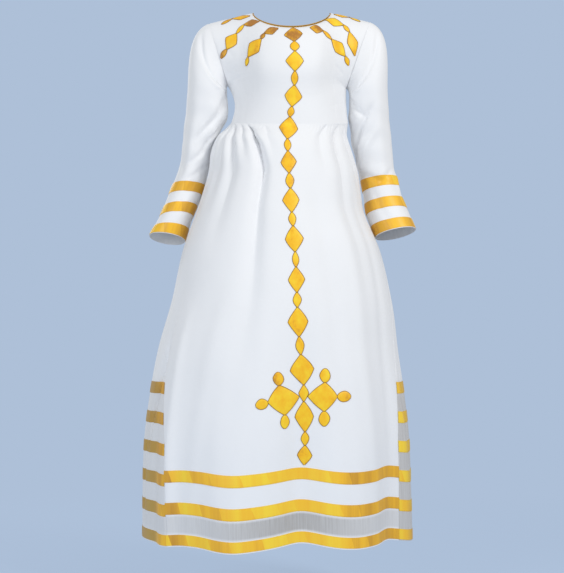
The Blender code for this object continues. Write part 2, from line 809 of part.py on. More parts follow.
def neck_binding(front, back):
    """Gold piping that runs round the neckline on the top edges of the front and the back."""
    ring = []
    for sheet, columns in ((front, FRONT_NECK_COLUMNS), (back, BACK_NECK_COLUMNS)):
        for c in range(SHOULDER_COLUMNS, SHOULDER_COLUMNS + columns):
            ring.append((sheet.rows[0][c], sheet.normals[0][c]))
    points, faces = [], []
    for c, (edge, normal) in enumerate(ring):
        along = ring[(c + 1) % len(ring)][0] - ring[c - 1][0]
        rise = normal.cross(along).normalized()
        centre = edge + rise * (LAY_GAP + PIPING_RADIUS) - normal * CLOTH / 2
        for k in range(PIPING_SIDES):
            turn = 2 * math.pi * (k + 0.5) / PIPING_SIDES - math.pi / 2
            points.append(centre + (rise * math.sin(turn) + normal * math.cos(turn)) * PIPING_RADIUS)
    for c in range(len(ring)):
        d = (c + 1) % len(ring)
        for k in range(PIPING_SIDES):
            m = (k + 1) % PIPING_SIDES
            faces.append([c * PIPING_SIDES + k, d * PIPING_SIDES + k, d * PIPING_SIDES + m, c * PIPING_SIDES + m])
    add_object("neck_binding", points, faces, "piping")


def cloth(name, sheet):
    wall(name, sheet.triangles(), -CLOTH, 0, "cotton")


def ribbons(name, sheet, count):
    """Ribbon bands on the last rows of a sheet, numbered from its lower edge up."""
    last = len(sheet.rows) - 1
    for k in range(count):
        band = sheet.part(last - 2 * k - 1, last - 2 * k)
        wall(f"{name}_{k + 1}", band.triangles(), LAY_GAP, LAY_GAP + RIBBON_THICKNESS, "ribbon")


def main():
    for item in list(bpy.data.objects):
        bpy.data.objects.remove(item, do_unlink=True)
    front, back = bodice_sheet(front=True), bodice_sheet(front=False)
    sleeves = {side: sleeve_sheet(side) for side in (LEFT, RIGHT)}
    front_bands, side_bands = band_rows(FRONT_BAND_PITCH, FRONT_BANDS), band_rows(SIDE_BAND_PITCH, SIDE_BANDS)
    shared_rows = [height for height in side_bands if height > front_bands[0]]
    front_heights = list(UPPER_ROWS) + shared_rows + front_bands
    side_heights = list(UPPER_ROWS) + side_bands
    skirt = {
        "front": skirt_sheet("front", front_heights, zone_shares(FRONT_ZONES)),
        "back": skirt_sheet("back", front_heights, even_shares(BACK_COLUMNS)),
        "left": skirt_sheet("left", side_heights, even_shares(SIDE_COLUMNS)),
        "right": skirt_sheet("right", side_heights, even_shares(SIDE_COLUMNS)),
    }
    share_normals([front, back, *sleeves.values()])

    front.trim(top=True, bottom=True, ends=True)
    back.trim(top=True, bottom=True, ends=True)
    for sleeve in sleeves.values():
        sleeve.trim(top=True, back=ARMHOLE_EASE)
    for panel in skirt.values():
        panel.trim(top=True, ends=True)

    cloth("bodice_front", front)
    cloth("bodice_back", back)
    for side, name in SIDE_NAMES.items():
        cloth(f"sleeve_{name}", sleeves[side])
        ribbons(f"cuff_band_{name}", sleeves[side], CUFF_BANDS)
    cloth("skirt_front", skirt["front"])
    cloth("skirt_back", skirt["back"])
    ribbons("hem_band_front", skirt["front"], FRONT_BANDS)
    ribbons("hem_band_back", skirt["back"], FRONT_BANDS)
    for name in SIDE_NAMES.values():
        cloth(f"skirt_side_{name}", skirt[name])
        ribbons(f"side_band_{name}", skirt[name], SIDE_BANDS)
    neck_binding(front, back)

    across, up = Vector((1, 0, 0)), Vector((0, 0, 1))
    cells = chain_cells()
    applique("chain_bodice", front, cells, across, up)
    applique("chain_skirt", skirt["front"], cells, across, up)
    for name, (joints, widths) in NECK_CHAINS.items():
        neck_chain(f"neck_chain_{name}", front, joints, widths)


main()
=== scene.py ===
# %% [markdown]
# # A habesha kemis in white cotton and gold
#
# This script dresses the solid model of an Ethiopian dress: a fitted bodice, a gathered skirt
# with side gores, long flared sleeves, satin ribbon bands, and a chain of gold applique that
# ends in a cross. Each cell makes one kind of piece or finish, and the text before it says what
# the real thing is, how it could be made, and why it is made this way.

# %%
import math

import bpy
import numpy as np
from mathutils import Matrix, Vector
from mathutils.bvhtree import BVHTree


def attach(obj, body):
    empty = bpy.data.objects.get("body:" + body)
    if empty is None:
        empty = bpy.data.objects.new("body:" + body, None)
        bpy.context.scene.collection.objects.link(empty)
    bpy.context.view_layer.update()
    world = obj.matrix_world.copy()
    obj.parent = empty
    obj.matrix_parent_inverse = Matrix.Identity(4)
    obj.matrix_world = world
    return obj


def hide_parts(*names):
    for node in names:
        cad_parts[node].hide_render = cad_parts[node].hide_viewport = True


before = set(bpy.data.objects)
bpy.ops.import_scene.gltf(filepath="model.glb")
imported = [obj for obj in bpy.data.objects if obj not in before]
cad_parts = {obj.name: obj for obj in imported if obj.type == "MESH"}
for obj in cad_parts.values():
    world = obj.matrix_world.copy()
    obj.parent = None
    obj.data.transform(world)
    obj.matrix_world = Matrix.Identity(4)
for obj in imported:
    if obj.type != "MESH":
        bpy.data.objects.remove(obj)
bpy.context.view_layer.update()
bpy.ops.object.select_all(action="DESELECT")
MM = 0.001
print("nodes in the frame:", len(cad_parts))

# %% [markdown]
# ## Sizes
#
# A dressmaker works from a table of body sizes. The tables here do the same: one row for each
# level of the skirt or ring of the sleeve, in millimetres, and every point of the cloth is
# worked out from them. Heights are counted from the top of the shoulders, so they are negative.
# Angles go round the body in degrees, from its left side (as seen) by way of the front.

# %%
WAIST, HEM = -275.0, -1304.0
SKIRT = np.array((
    # height, left edge, right edge, front depth, back depth
    (-275, -147, 145, 118, 98),
    (-292, -164, 144, 124, 104),
    (-308, -181, 144, 130, 108),
    (-348, -197, 157, 140, 116),
    (-398, -203, 172, 149, 126),
    (-448, -217, 179, 158, 136),
    (-500, -234, 187, 168, 147),
    (-598, -268, 226, 186, 168),
    (-718, -294, 251, 205, 192),
    (-838, -328, 264, 218, 212),
    (-958, -350, 281, 226, 226),
    (-1078, -364, 293, 231, 236),
    (-1304, -368, 299, 235, 242),
), float)
SEAMS = np.array((
    # height, then degrees from the side line: front seam left, front seam right, back seams
    (-275, 5, 5, 12),
    (-696, 8, 8, 22),
    (-918.5, 29, 20, 32),
    (-1061.5, 38, 24, 37),
    (-1304, 41, 25, 40),
), float)
FOLDS = (
    # angle, drift, depth, half width, bottom: the deep folds that fall from the waist seam
    (5, 8, 9, 9, -560), (14, 16, 11, 9, -520), (23, 24, 15, 11, -620), (35, 25, 12, 8, -390),
    (43.5, 31, 19, 10, -900), (64, 20, 5, 10, -430), (128, -6, 6, 10, -460),
    (147, -8, 7, 12, -840), (160, 2, 7, 10, -600), (173, 0, 9, 11, -660), (188, 0, 13, 11, -620),
    (203, 2, 15, 12, -780), (219, -2, 12, 12, -580), (236, 3, 16, 12, -840), (252, 0, 11, 12, -540),
    (268, -2, 16, 12, -880), (285, 2, 12, 12, -590), (301, -3, 16, 12, -800), (318, 2, 13, 12, -660),
    (333, 0, 11, 11, -580), (347, -1, 10, 11, -720),
)
WAVES = (
    # angle, how far out, half width: the waves of the hem
    (38, 11, 38), (72, 22, 57), (101, -27, 50), (124, 10, 50), (147, -14, 42), (166, 10, 40),
    (196, -12, 60), (224, 22, 70), (252, -20, 60), (278, 20, 70), (306, -18, 60), (334, 16, 60),
)
WAVE_TOP = -640.0
TIP = {-1: np.array((-204.0, 4, -27)), 1: np.array((200.0, 4, -23))}
ARMPIT = {-1: np.array((-156.0, 6, -182)), 1: np.array((142.0, 6, -188))}
SIDE_NIP = {-1: 13.0, 1: -2.0}
ARMHOLE_FRONT, ARMHOLE_BACK = 44.0, 52.0
NECK_X, NECK_HALF = 4.0, 98.0
SHOULDER_FRONT, SHOULDER_BACK = 4 / 18, 4 / 16
DRIFT_LENGTH = 32
WAIST_DIP, DIP_FADE = 20, 240
FRONT_NECK, BACK_NECK = np.array((0.0, -88, -56)), np.array((0.0, 62, -20))
SLEEVE = {
    # the axis, half width, half depth, the lift of the outer edge and the lift of the front edge
    -1: np.array((
        (-207, 8, -198, 50, 58, 0, 0), (-209, 14, -256, 53, 54, 0, 0), (-220, 18, -292, 47, 52, 1, 0),
        (-232, 22, -328, 38, 51, 2, 1), (-242, 27, -388, 37, 48, 3, 3), (-260, 25, -446, 42, 48, 1, 8),
        (-284, 18, -505, 42, 50, -2, 11), (-309, 22, -563, 45, 54, 6, 11),
    ), float),
    1: np.array((
        (196.5, 8, -204, 48.5, 58, 0, 0), (198.5, 14, -262, 50.5, 54, 0, 0), (206, 22, -325, 50, 51, 2, 1),
        (216.5, 27, -388, 45.5, 48, 4, 3), (229, 25, -443, 45, 47, 7, 7), (243, 20, -496, 51, 50, 8, 10),
        (265, 14, -551, 51, 55, 10, 10),
    ), float),
}
HEM_RIBBON, FRONT_PITCH, SIDE_PITCH = 28.0, 76.0, 71.5
CUFF_RIBBON, CUFF_PITCH, CUFF_BANDS, CUFF_MARGIN = 28.0, 59.0, 3, 1.5
SIDES = {-1: "left", 1: "right"}

# %% [markdown]
# ## Reading a table smoothly
#
# Cloth has no corners where a table has rows. So a value between two rows is read on a smooth
# cubic curve through them. Everything is done on whole arrays of points at once, because a panel
# has tens of thousands of them.


# %%
def soft(share):
    share = np.clip(share, 0.0, 1.0)
    return share * share * (3 - 2 * share)


def read_table(rows, height):
    """Every column of a table at some heights, on a smooth curve through the rows."""
    height = np.clip(height, rows[-1, 0], rows[0, 0])
    k = np.clip(np.searchsorted(-rows[:, 0], -height, side="right") - 1, 0, len(rows) - 2)
    above, below = rows[k], rows[k + 1]
    before, after = rows[np.maximum(k - 1, 0)], rows[np.minimum(k + 2, len(rows) - 1)]
    step = below[..., :1] - above[..., :1]
    share = (height[..., None] - above[..., :1]) / step
    start = step * (below - before) / (below[..., :1] - before[..., :1])
    end = step * (after - above) / (after[..., :1] - above[..., :1])
    return (
        (2 * share**3 - 3 * share**2 + 1) * above
        + (share**3 - 2 * share**2 + share) * start
        + (3 * share**2 - 2 * share**3) * below
        + (share**3 - share**2) * end
    )


def turn_between(angle, centre):
    return (angle - centre + 180) % 360 - 180


def bump(away, half_width):
    return np.exp(-((away / half_width) ** 2))


# %% [markdown]
# ## The skirt's form
#
# The skirt is cut much wider than the waist and gathered into the seam. Deep folds start at the
# gathers and die away down the skirt, and the hem swings in broad waves. Between them lie the
# small puckers of the gathering thread, a few centimetres long, and long soft drapes. A cloth
# simulation could find such folds, but not these ones in these places, so each is given in
# a table and the cloth is pushed in or out along its normal.

# %%
DRAPES = (
    # angle at the top, angle at the bottom, depth, half width, top, bottom
    (75, 70, 4, 26, -380, -1280), (96, 100, 3, 22, -520, -1304), (112, 122, 4, 24, -330, -1100),
    (131, 136, -4, 20, -420, -1240), (152, 150, 4, 16, -360, -1200), (24, 30, 5, 18, -600, -1304),
    (38, 41, -4, 16, -700, -1304), (62, 52, -3, 22, -640, -1240), (84, 84, -2, 18, -700, -1304),
    (200, 204, 4, 24, -500, -1304), (215, 212, -4, 20, -420, -1200), (243, 240, 5, 26, -600, -1304),
    (262, 266, -4, 22, -400, -1100), (290, 296, 5, 26, -560, -1304), (322, 320, -4, 20, -480, -1304),
    (344, 340, 4, 18, -420, -1200), (175, 178, -4, 18, -640, -1304),
)
GORE_FOLDS = (
    # angle at the top, angle at the bottom, depth, half width, top, bottom
    (27, 17, 17, 8, -790, -1130), (15, 12, 7, 9, -980, -1304), (166, 169, 8, 9, -860, -1200),
    (350, 346, 8, 10, -820, -1180), (194, 197, 8, 10, -860, -1240),
)
PUCKER_PITCH = 3.4
pucker_rng = np.random.default_rng(7)
PUCKERS = [
    (angle + pucker_rng.uniform(-1.0, 1.0), pucker_rng.uniform(0.5, 1.3), pucker_rng.uniform(18, 60))
    for angle in np.arange(0, 360, PUCKER_PITCH)
]


def gather_strength(angle):
    """How tightly the waist is gathered round the body: the middle of the front lies flat."""
    flat_front = bump(turn_between(angle, 88), 30)
    return 1.0 - 0.93 * flat_front


def skirt_relief(angle, height, girth):
    """How far the folds, waves, drapes and puckers move the cloth, in mm."""
    shift = np.zeros_like(angle)
    drifted = 1 - np.exp((height - WAIST) / DRIFT_LENGTH)
    for centre, drift, depth, half_width, bottom in FOLDS:
        share = np.clip((WAIST - height) / (WAIST - bottom), 0, 1)
        away = turn_between(angle, centre + drift * drifted) * girth
        rise = soft(share * (WAIST - bottom) / 55) * (1 - share)
        shift -= depth * rise * bump(away, half_width * (1 + 1.6 * share))
        sharp = soft(share * (WAIST - bottom) / 14) * (1 - share) ** 2.5
        shift -= 0.72 * depth * sharp * np.exp(-np.abs(away) / (3.0 + 7 * share))
    for top_angle, bottom_angle, depth, half_width, top, bottom in DRAPES:
        share = np.clip((top - height) / (top - bottom), 0, 1)
        away = turn_between(angle, top_angle + (bottom_angle - top_angle) * share) * girth
        shift -= depth * soft(share * 4) * (1 - 0.35 * soft(share * 3 - 2)) * bump(away, half_width)
    for top_angle, bottom_angle, depth, half_width, top, bottom in GORE_FOLDS:
        share = np.clip((top - height) / (top - bottom), 0, 1)
        away = turn_between(angle, top_angle + (bottom_angle - top_angle) * share) * girth
        shift -= depth * soft(share * 2.5) * soft((1 - share) * 2) * bump(away, half_width)
    tight = gather_strength(angle)
    for centre, depth, length in PUCKERS:
        share = np.clip((WAIST - height) / length, 0, 1)
        away = turn_between(angle, centre + 0.8 * share) * girth
        shift -= 1.7 * depth * tight * soft(share * 6) * (1 - share) ** 1.5 * bump(away, 2.1 + 3 * share)
    return shift


def skirt_surface(angle, height):
    """Points on the skirt, in metres, for arrays of angles and heights."""
    table = read_table(SKIRT, height)
    turn = np.radians(180 + angle)
    half_width = (table[..., 2] - table[..., 1]) / 2
    depth = np.where(np.sin(turn) <= 0, table[..., 3], table[..., 4])
    x = (table[..., 1] + table[..., 2]) / 2 + half_width * np.cos(turn)
    y = depth * np.sin(turn) - 6 * soft((WAIST - height) / 60)
    out_x, out_y = depth * np.cos(turn), half_width * np.sin(turn)
    reach = np.hypot(out_x, out_y)
    girth = np.radians(1) * (half_width + depth) / 2
    fade = soft((WAVE_TOP - height) / (WAVE_TOP - HEM))
    wave = sum(out * bump(turn_between(angle, centre) * girth, wide) for centre, out, wide in WAVES)
    shift = skirt_relief(angle, height, girth) + fade * wave
    dip = WAIST_DIP * (1 - soft((WAIST - height) / DIP_FADE)) * np.maximum(0, -np.sin(turn))
    z = height - dip - 9 * fade * wave / 22
    return np.stack((x + out_x / reach * shift, y + out_y / reach * shift, z), axis=-1) * MM


def seam_angles(height):
    """Where each skirt panel starts and ends round the body, at some heights."""
    left, right, back = (np.interp(-height, -SEAMS[:, 0], SEAMS[:, c]) for c in (1, 2, 3))
    return {
        "front": (left, 180 - right),
        "side_right": (180 - right, 180 + back),
        "back": (180 + back, 360 - back),
        "side_left": (360 - back, 360 + left),
    }


# %% [markdown]
# ## The bodice's form
#
# A bodice panel is bounded by its neckline, shoulders, armholes, side seams and the waist seam.
# The surface is spanned between those edges, and the fullness that the darts give is added. The
# darts themselves show as faint lines, and small creases radiate from the armholes.


# %%
def mix(low, high, share):
    return low + (high - low) * share


def neck_curve(share, low_point):
    turn = np.pi * share
    dip = np.sin(turn)[..., None]
    side_way = np.stack((NECK_X - NECK_HALF * np.cos(turn), 4 * (1 - np.sin(turn)), 0 * turn), axis=-1)
    return side_way + low_point * np.maximum(dip, 0) ** 1.15


def top_edge(across, front):
    """The shoulders and the neckline, from left to right."""
    low_point = FRONT_NECK if front else BACK_NECK
    shoulder = SHOULDER_FRONT if front else SHOULDER_BACK
    neck = neck_curve(np.clip((across - shoulder) / (1 - 2 * shoulder), 0, 1), low_point)
    left, right = neck_curve(np.array(0.0), low_point), neck_curve(np.array(1.0), low_point)
    on_left = mix(TIP[-1], left, np.clip(across / shoulder, 0, 1)[..., None])
    on_right = mix(right, TIP[1], np.clip((across - 1 + shoulder) / shoulder, 0, 1)[..., None])
    edge = np.where((across < shoulder)[..., None], on_left, neck)
    return np.where((across > 1 - shoulder)[..., None], on_right, edge)


def waist_edge(angle):
    return skirt_surface(angle, np.full_like(angle, WAIST)) / MM


def armhole(side, turn):
    """An armhole's edge, turned from the shoulder tip by way of the front."""
    depth = np.where(np.sin(turn) >= 0, ARMHOLE_FRONT, ARMHOLE_BACK)
    tip, pit = TIP[side], ARMPIT[side]
    edge = (tip + pit) / 2 + (tip - pit) / 2 * np.cos(turn)[..., None]
    return edge + np.stack((0 * turn, -depth * np.sin(turn), 0 * turn), axis=-1)


def side_edge(side, front, down):
    """From the shoulder tip down the armhole, then down the side seam."""
    pit_at = 8 / 11
    way = 1 if front else -1
    hole = armhole(side, way * np.pi * np.clip(down / pit_at, 0, 1))
    waist = waist_edge(np.array(0.0 if side < 0 else 180.0))
    below = np.clip((down - pit_at) / (1 - pit_at), 0, 1)[..., None]
    seam = mix(ARMPIT[side], waist, below) + np.array((SIDE_NIP[side], 0, 0)) * np.sin(np.pi * below)
    return np.where((down <= pit_at)[..., None], hole, seam)


def fall(start, end, down):
    """Between two edges: out over the shoulder first and then down."""
    shares = np.stack((down, 1 - (1 - down) ** 2.4, down**1.35), axis=-1)
    return start + (end - start) * shares


CHEST_CREASES = (
    # across, down, its run across and down, length, depth, half width
    (0.10, 0.56, 0.9, -0.42, 0.16, 1.6, 0.018), (0.08, 0.66, 1.0, -0.15, 0.20, 1.2, 0.016),
    (0.90, 0.58, -0.9, -0.45, 0.17, 1.8, 0.018), (0.91, 0.68, -1.0, -0.2, 0.16, 1.3, 0.015),
    (0.15, 0.80, 0.95, 0.25, 0.14, 1.0, 0.018), (0.84, 0.86, -0.95, 0.2, 0.16, 1.1, 0.018),
    (0.07, 0.38, 0.5, 0.9, 0.12, 1.2, 0.014), (0.93, 0.40, -0.4, 0.9, 0.14, 1.4, 0.014),
)


def bodice_relief(across, down, front):
    """Darts, small creases and the soft swell of the chest, in mm outwards."""
    shift = np.zeros_like(across)
    if front:
        swell = bump(across - 0.32, 0.17) + bump(across - 0.68, 0.17)
        shift += 8.5 * bump(down - 0.58, 0.24) * 16 * down * (1 - down) * across * (1 - across) * swell
    for middle in (0.20, 0.80):
        dart = bump(across - middle - 0.03 * (down - 0.5) * (1 if middle < 0.5 else -1), 0.006)
        shift -= (0.9 if front else 0.6) * dart * soft((down - 0.42) * 6) * soft((1 - down) * 12)
    for start, at, run, drop, length, depth, wide in CHEST_CREASES:
        along = ((across - start) * run + (down - at) * drop) / math.hypot(run, drop)
        aside = ((across - start) * drop - (down - at) * run) / math.hypot(run, drop)
        shift -= depth * bump(aside, wide) * soft(along / length * 4 + 0.5) * soft((length - along) / length)
    return shift


def bodice_surface(across, down, front):
    """Points on a bodice panel, in metres: across from left to right, down from the shoulders."""
    angle = 180 * across if front else (360 - 180 * across) % 360
    bottom = waist_edge(angle)
    spread = 0.07 * soft(down * 4) * soft(across * 5) * soft((1 - across) * 5)
    top = sum(top_edge(across + spread * step, front) for step in (-1, -0.5, 0, 0.5, 1)) / 5
    point = fall(top, bottom, down)
    for side, near, at in ((-1, 1 - across, 0.0), (1, across, 1.0)):
        corner, waist = top_edge(np.array(at), front), waist_edge(np.array(0.0 if side < 0 else 180.0))
        spread = 0.2 * (1 - near) * soft(down * 4) * soft((1 - down) * 4)
        drift = 0
        for step in (-1, -0.5, 0, 0.5, 1):
            level = np.clip(down + spread * step, 0, 1)
            drift = drift + (side_edge(side, front, level) - fall(corner, waist, level)) / 5
        point = point + drift * (near**2.6)[..., None]
    out = -1 if front else 1
    point[..., 1] += out * bodice_relief(across, down, front)
    return point * MM


# %% [markdown]
# ## The sleeves' form
#
# A sleeve head is eased into the armhole, so its cap is spanned from the armhole's edge to a ring
# under the arm. Below, rings follow the bent arm to the flared cuff. Drag lines slant down from
# under the arm, and short folds bunch inside the elbow.

# %%
SLEEVE_CREASES = {
    # from a turn in degrees (90 front, 180 inside of the arm) and a distance down, to another;
    # depth (ridges are negative) and half width
    -1: (
        (38, -92, 150, -10, 5.5, 7), (72, -70, 168, 26, -3.8, 10), (164, 0, 92, 118, 7.0, 9),
        (178, 62, 116, 156, 5.5, 7), (62, 30, 76, 225, -3.2, 15), (132, 150, 60, 196, 3.4, 7),
        (160, 176, 84, 232, 3.0, 8), (112, 215, 96, 330, 2.4, 9), (20, 120, 52, 210, 2.4, 8),
        (190, 20, 262, 150, 3.8, 11), (196, 140, 268, 190, 4.0, 8), (188, 182, 286, 236, 3.2, 9),
        (318, -80, 224, 0, 3.6, 10), (322, 50, 292, 210, -3.4, 15), (238, 226, 252, 332, 2.4, 10),
    ),
    1: (
        (40, -90, 142, -12, 5.0, 7), (76, -64, 160, 10, -3.4, 9), (166, 8, 112, 58, 5.0, 7),
        (176, 168, 92, 46, 9.0, 6), (146, 176, 80, 96, -4.2, 8), (66, 20, 72, 200, -2.8, 15),
        (168, 190, 74, 232, 3.8, 9), (40, 196, 100, 238, 3.0, 7), (14, 206, 30, 262, -3.6, 9),
        (120, 246, 100, 345, 2.2, 9), (192, 16, 256, 140, 3.8, 11), (200, 150, 272, 196, 4.0, 8),
        (190, 190, 290, 240, 3.2, 9), (320, -80, 226, 0, 3.6, 10), (318, 60, 288, 220, -3.2, 15),
    ),
}
MM_PER_DEGREE = 0.85


def sleeve_length(side):
    rows = SLEEVE[side]
    return np.concatenate(([0], np.cumsum(np.linalg.norm(np.diff(rows[:, :3], axis=0), axis=1))))


def ring_row(side, distance):
    rows = np.column_stack((-sleeve_length(side), SLEEVE[side]))
    return read_table(rows, -distance)[..., 1:]


def ring_point(side, row, turn):
    out = np.stack((side * row[..., 3], 0 * turn, row[..., 5] + 0 * turn), axis=-1) * np.cos(turn)[..., None]
    forward = np.stack((0 * turn, -row[..., 4], row[..., 6] + 0 * turn), axis=-1) * np.sin(turn)[..., None]
    return row[..., :3] + out + forward


def crease(along_from, down_from, along_to, down_to, along, down, depth, half_width):
    """A soft trough from one spot of the cloth to another, fading at both ends."""
    run, drop = along_to - along_from, down_to - down_from
    length = math.hypot(run, drop)
    way = ((along - along_from) * run + (down - down_from) * drop) / length
    aside = ((along - along_from) * drop - (down - down_from) * run) / length
    fade = 0.28 * length
    start, end = soft((way + fade) / (2 * fade)), soft((length - way + fade) / (2 * fade))
    return depth * bump(aside, half_width) * start * end


def sleeve_relief(side, turn, distance):
    wave = np.sin(2 * np.pi * (distance + side * turn * 14) / 62)
    fade = soft(distance / 50) * (1 - soft((distance - 170) / 90))
    shift = 1.3 * wave * (0.35 + 0.65 * (0.5 - 0.5 * np.cos(turn))) * fade
    degrees = np.degrees(turn) % 360
    for start, at, end, to, depth, wide in SLEEVE_CREASES[side]:
        along = turn_between(degrees, start) * MM_PER_DEGREE
        shift -= crease(0, at, turn_between(end, start) * MM_PER_DEGREE, to, along, distance, depth, wide)
    return shift


CAP = 110.0


def sleeve_surface(side, turn, distance):
    """Points on a sleeve, in metres; distances under 0 lie on the cap above the first ring."""
    first = np.broadcast_to(SLEEVE[side][0], turn.shape + (7,))
    share = np.clip(distance / CAP + 1, 0, 1)[..., None]
    start, end = armhole(side, turn), ring_point(side, first, turn)
    span = np.linalg.norm(end - start, axis=-1, keepdims=True)
    over = 0.5 + 0.5 * np.cos(turn)
    leave = np.stack((side * mix(0.75, 1.0, over), 0 * over, mix(-0.66, -0.38, over)), axis=-1)
    leave /= np.linalg.norm(leave, axis=-1, keepdims=True)
    arrive = ring_point(side, ring_row(side, np.full_like(turn, 40.0)), turn) - end
    arrive /= np.linalg.norm(arrive, axis=-1, keepdims=True)
    cap = (
        start * (2 * share**3 - 3 * share**2 + 1)
        + leave * span * (share**3 - 2 * share**2 + share)
        + end * (3 * share**2 - 2 * share**3)
        + arrive * span * (share**3 - share**2)
    )
    row = ring_row(side, np.maximum(distance, 0))
    arm = ring_point(side, row, turn)
    point = np.where((distance < 0)[..., None], cap, arm)
    middle = np.where((distance < 0)[..., None], (start + end) / 2, row[..., :3])
    out = arm - row[..., :3]
    out /= np.linalg.norm(out, axis=-1, keepdims=True)
    ease = soft((distance + CAP) / 30)
    return (point + out * (sleeve_relief(side, turn, distance) * ease)[..., None]) * MM


# %% [markdown]
# ## Sewing a sheet into a shell
#
# A panel is a grid of points with a normal at each. A thin shell is made from it: the grid
# itself, a copy moved inwards by the cloth's thickness, and a rim round the edge. The Solidify
# modifier could do this, but a grid made in code keeps its own layout coordinates, in metres of
# cloth, and lets neighbouring panels share their normals at a seam.

# %%
CLOTH = 0.9 * MM


def grid_normals(points, closed):
    down = np.gradient(points, axis=0)
    if closed:
        across = np.roll(points, -1, axis=1) - np.roll(points, 1, axis=1)
    else:
        across = np.gradient(points, axis=1)
    normals = np.cross(down, across)
    return normals / np.linalg.norm(normals, axis=-1, keepdims=True)


def wall(points, normals, low, high, closed=False, tone=0.0, inside=0.0):
    """A closed wall between two distances out from a grid whose rows run down the cloth."""
    rows, columns = points.shape[:2]
    high = np.broadcast_to(high, (rows, columns))[..., None]
    spots = np.concatenate(((points + normals * high).reshape(-1, 3), (points + normals * low).reshape(-1, 3)))
    count = rows * columns
    index = np.arange(count).reshape(rows, columns)
    right = np.roll(index, -1, axis=1) if closed else index[:, 1:]
    left = index if closed else index[:, :-1]
    face = np.stack((left[:-1], left[1:], right[1:], right[:-1]), axis=-1).reshape(-1, 4)
    faces = [face, face[:, ::-1] + count]
    rims = [(left[0], right[0]), (right[-1], left[-1])]
    if not closed:
        rims += [(index[1:, 0], index[:-1, 0]), (index[:-1, -1], index[1:, -1])]
    faces += [np.stack((a, b, b + count, a + count), axis=-1) for a, b in rims]
    u = np.cumsum(np.linalg.norm(np.diff(points, axis=1, prepend=points[:, :1]), axis=-1), axis=1)
    u -= u[:, columns // 2, None]
    v = -np.cumsum(np.linalg.norm(np.diff(points, axis=0, prepend=points[:1]), axis=-1).mean(axis=1))
    layout = np.stack((u, np.broadcast_to(v[:, None], u.shape)), axis=-1).reshape(-1, 2)
    tones = np.broadcast_to(tone, (rows, columns)).reshape(-1)
    # The inner wall takes at least the inside tone: painted shade where the light hardly gets in.
    tones = np.concatenate((tones, np.maximum(tones, inside)))
    return spots, np.concatenate(faces), np.tile(layout, (2, 1)), tones


def tube(path, normals, radius, sides, closed=False, tone=0.0):
    """A round cord along a path of points, its section turned with the cloth's normals."""
    if closed:
        along = np.roll(path, -1, axis=0) - np.roll(path, 1, axis=0)
    else:
        along = np.gradient(path, axis=0)
    aside = np.cross(along, normals)
    aside /= np.linalg.norm(aside, axis=-1, keepdims=True)
    turns = 2 * np.pi * np.arange(sides) / sides
    ring = normals[:, None] * np.sin(turns)[None, :, None] + aside[:, None] * np.cos(turns)[None, :, None]
    spots = (path[:, None] + ring * radius).reshape(-1, 3)
    index = np.arange(len(path) * sides).reshape(-1, sides)
    below = np.roll(index, -1, axis=0) if closed else index[1:]
    above = index if closed else index[:-1]
    face = np.stack((above, np.roll(above, -1, axis=1), np.roll(below, -1, axis=1), below), axis=-1)
    run = np.cumsum(np.linalg.norm(np.diff(path, axis=0, prepend=path[:1]), axis=-1))
    layout = np.stack((np.repeat(run, sides), np.tile(turns * radius, len(path))), axis=-1)
    return spots, face.reshape(-1, 4), layout, np.full(len(spots), tone)


def sew(name, parts, material, cad_nodes):
    """One piece from several walls or cords, standing for CAD nodes and riding on the body."""
    offsets = np.cumsum([0] + [len(part[0]) for part in parts])
    faces = np.concatenate([part[1] + offset for part, offset in zip(parts, offsets)])
    layout = np.concatenate([part[2] for part in parts])
    mesh = bpy.data.meshes.new(name)
    loops = faces.tolist()
    mesh.from_pydata(np.concatenate([part[0] for part in parts]).tolist(), [], loops)
    corner = np.array([index for loop in loops for index in loop])
    mesh.uv_layers.new(name="cloth").data.foreach_set("uv", layout[corner].astype(np.float32).reshape(-1))
    # The tone attribute carries painted shade on the white cotton and on the gores' ribbons, and how brown the
    # gold is on the applique.
    tones = np.concatenate([part[3] for part in parts]).astype(np.float32)
    mesh.attributes.new("tone", "FLOAT", "POINT").data.foreach_set("value", tones)
    mesh.materials.append(material)
    piece = bpy.data.objects.new(name, mesh)
    bpy.context.scene.collection.objects.link(piece)
    bpy.context.view_layer.objects.active = piece
    piece.select_set(True)
    bpy.ops.object.shade_smooth_by_angle(angle=math.radians(55))
    piece.select_set(False)
    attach(piece, "root")
    if cad_nodes:
        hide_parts(*cad_nodes)
    made[name] = piece
    return piece


made = {}


def cut(width, length, share=1.0):
    """Work out the area of the rectangle a sheet is cut from, in metres, times the share of it that it takes up;
    the area is neither kept nor returned.
    """
    area = width * length * share


def cut_ribbon(points, width, closed=False):
    """Work out a ribbon's cut, the length of the line that it is sewn along, and pass it with the width to cut.
    """
    line = points[len(points) // 2]
    if closed:
        line = np.concatenate((line, line[:1]))
    length = np.linalg.norm(np.diff(line, axis=0), axis=-1).sum()
    cut(width, float(length))


def dip_edges(points, normals, edges, depth=0.9 * MM):
    """Draw the outermost lines of a grid in, as the stitches of a seam do."""
    for edge in edges:
        for step, share in enumerate((1.0, 0.45, 0.1)):
            line = (slice(None), step if edge == "left" else -1 - step)
            points[line] -= normals[line] * depth * share


# %% [markdown]
# ## Shader maths as plain expressions
#
# A material is a graph of nodes. Written node by node it is hard to read, so a small class wraps
# a socket and overloads the operators: `1 - edge * 0.5` then adds its own Math nodes. Any other
# node comes from one method that takes the node's type, its settings and its inputs.


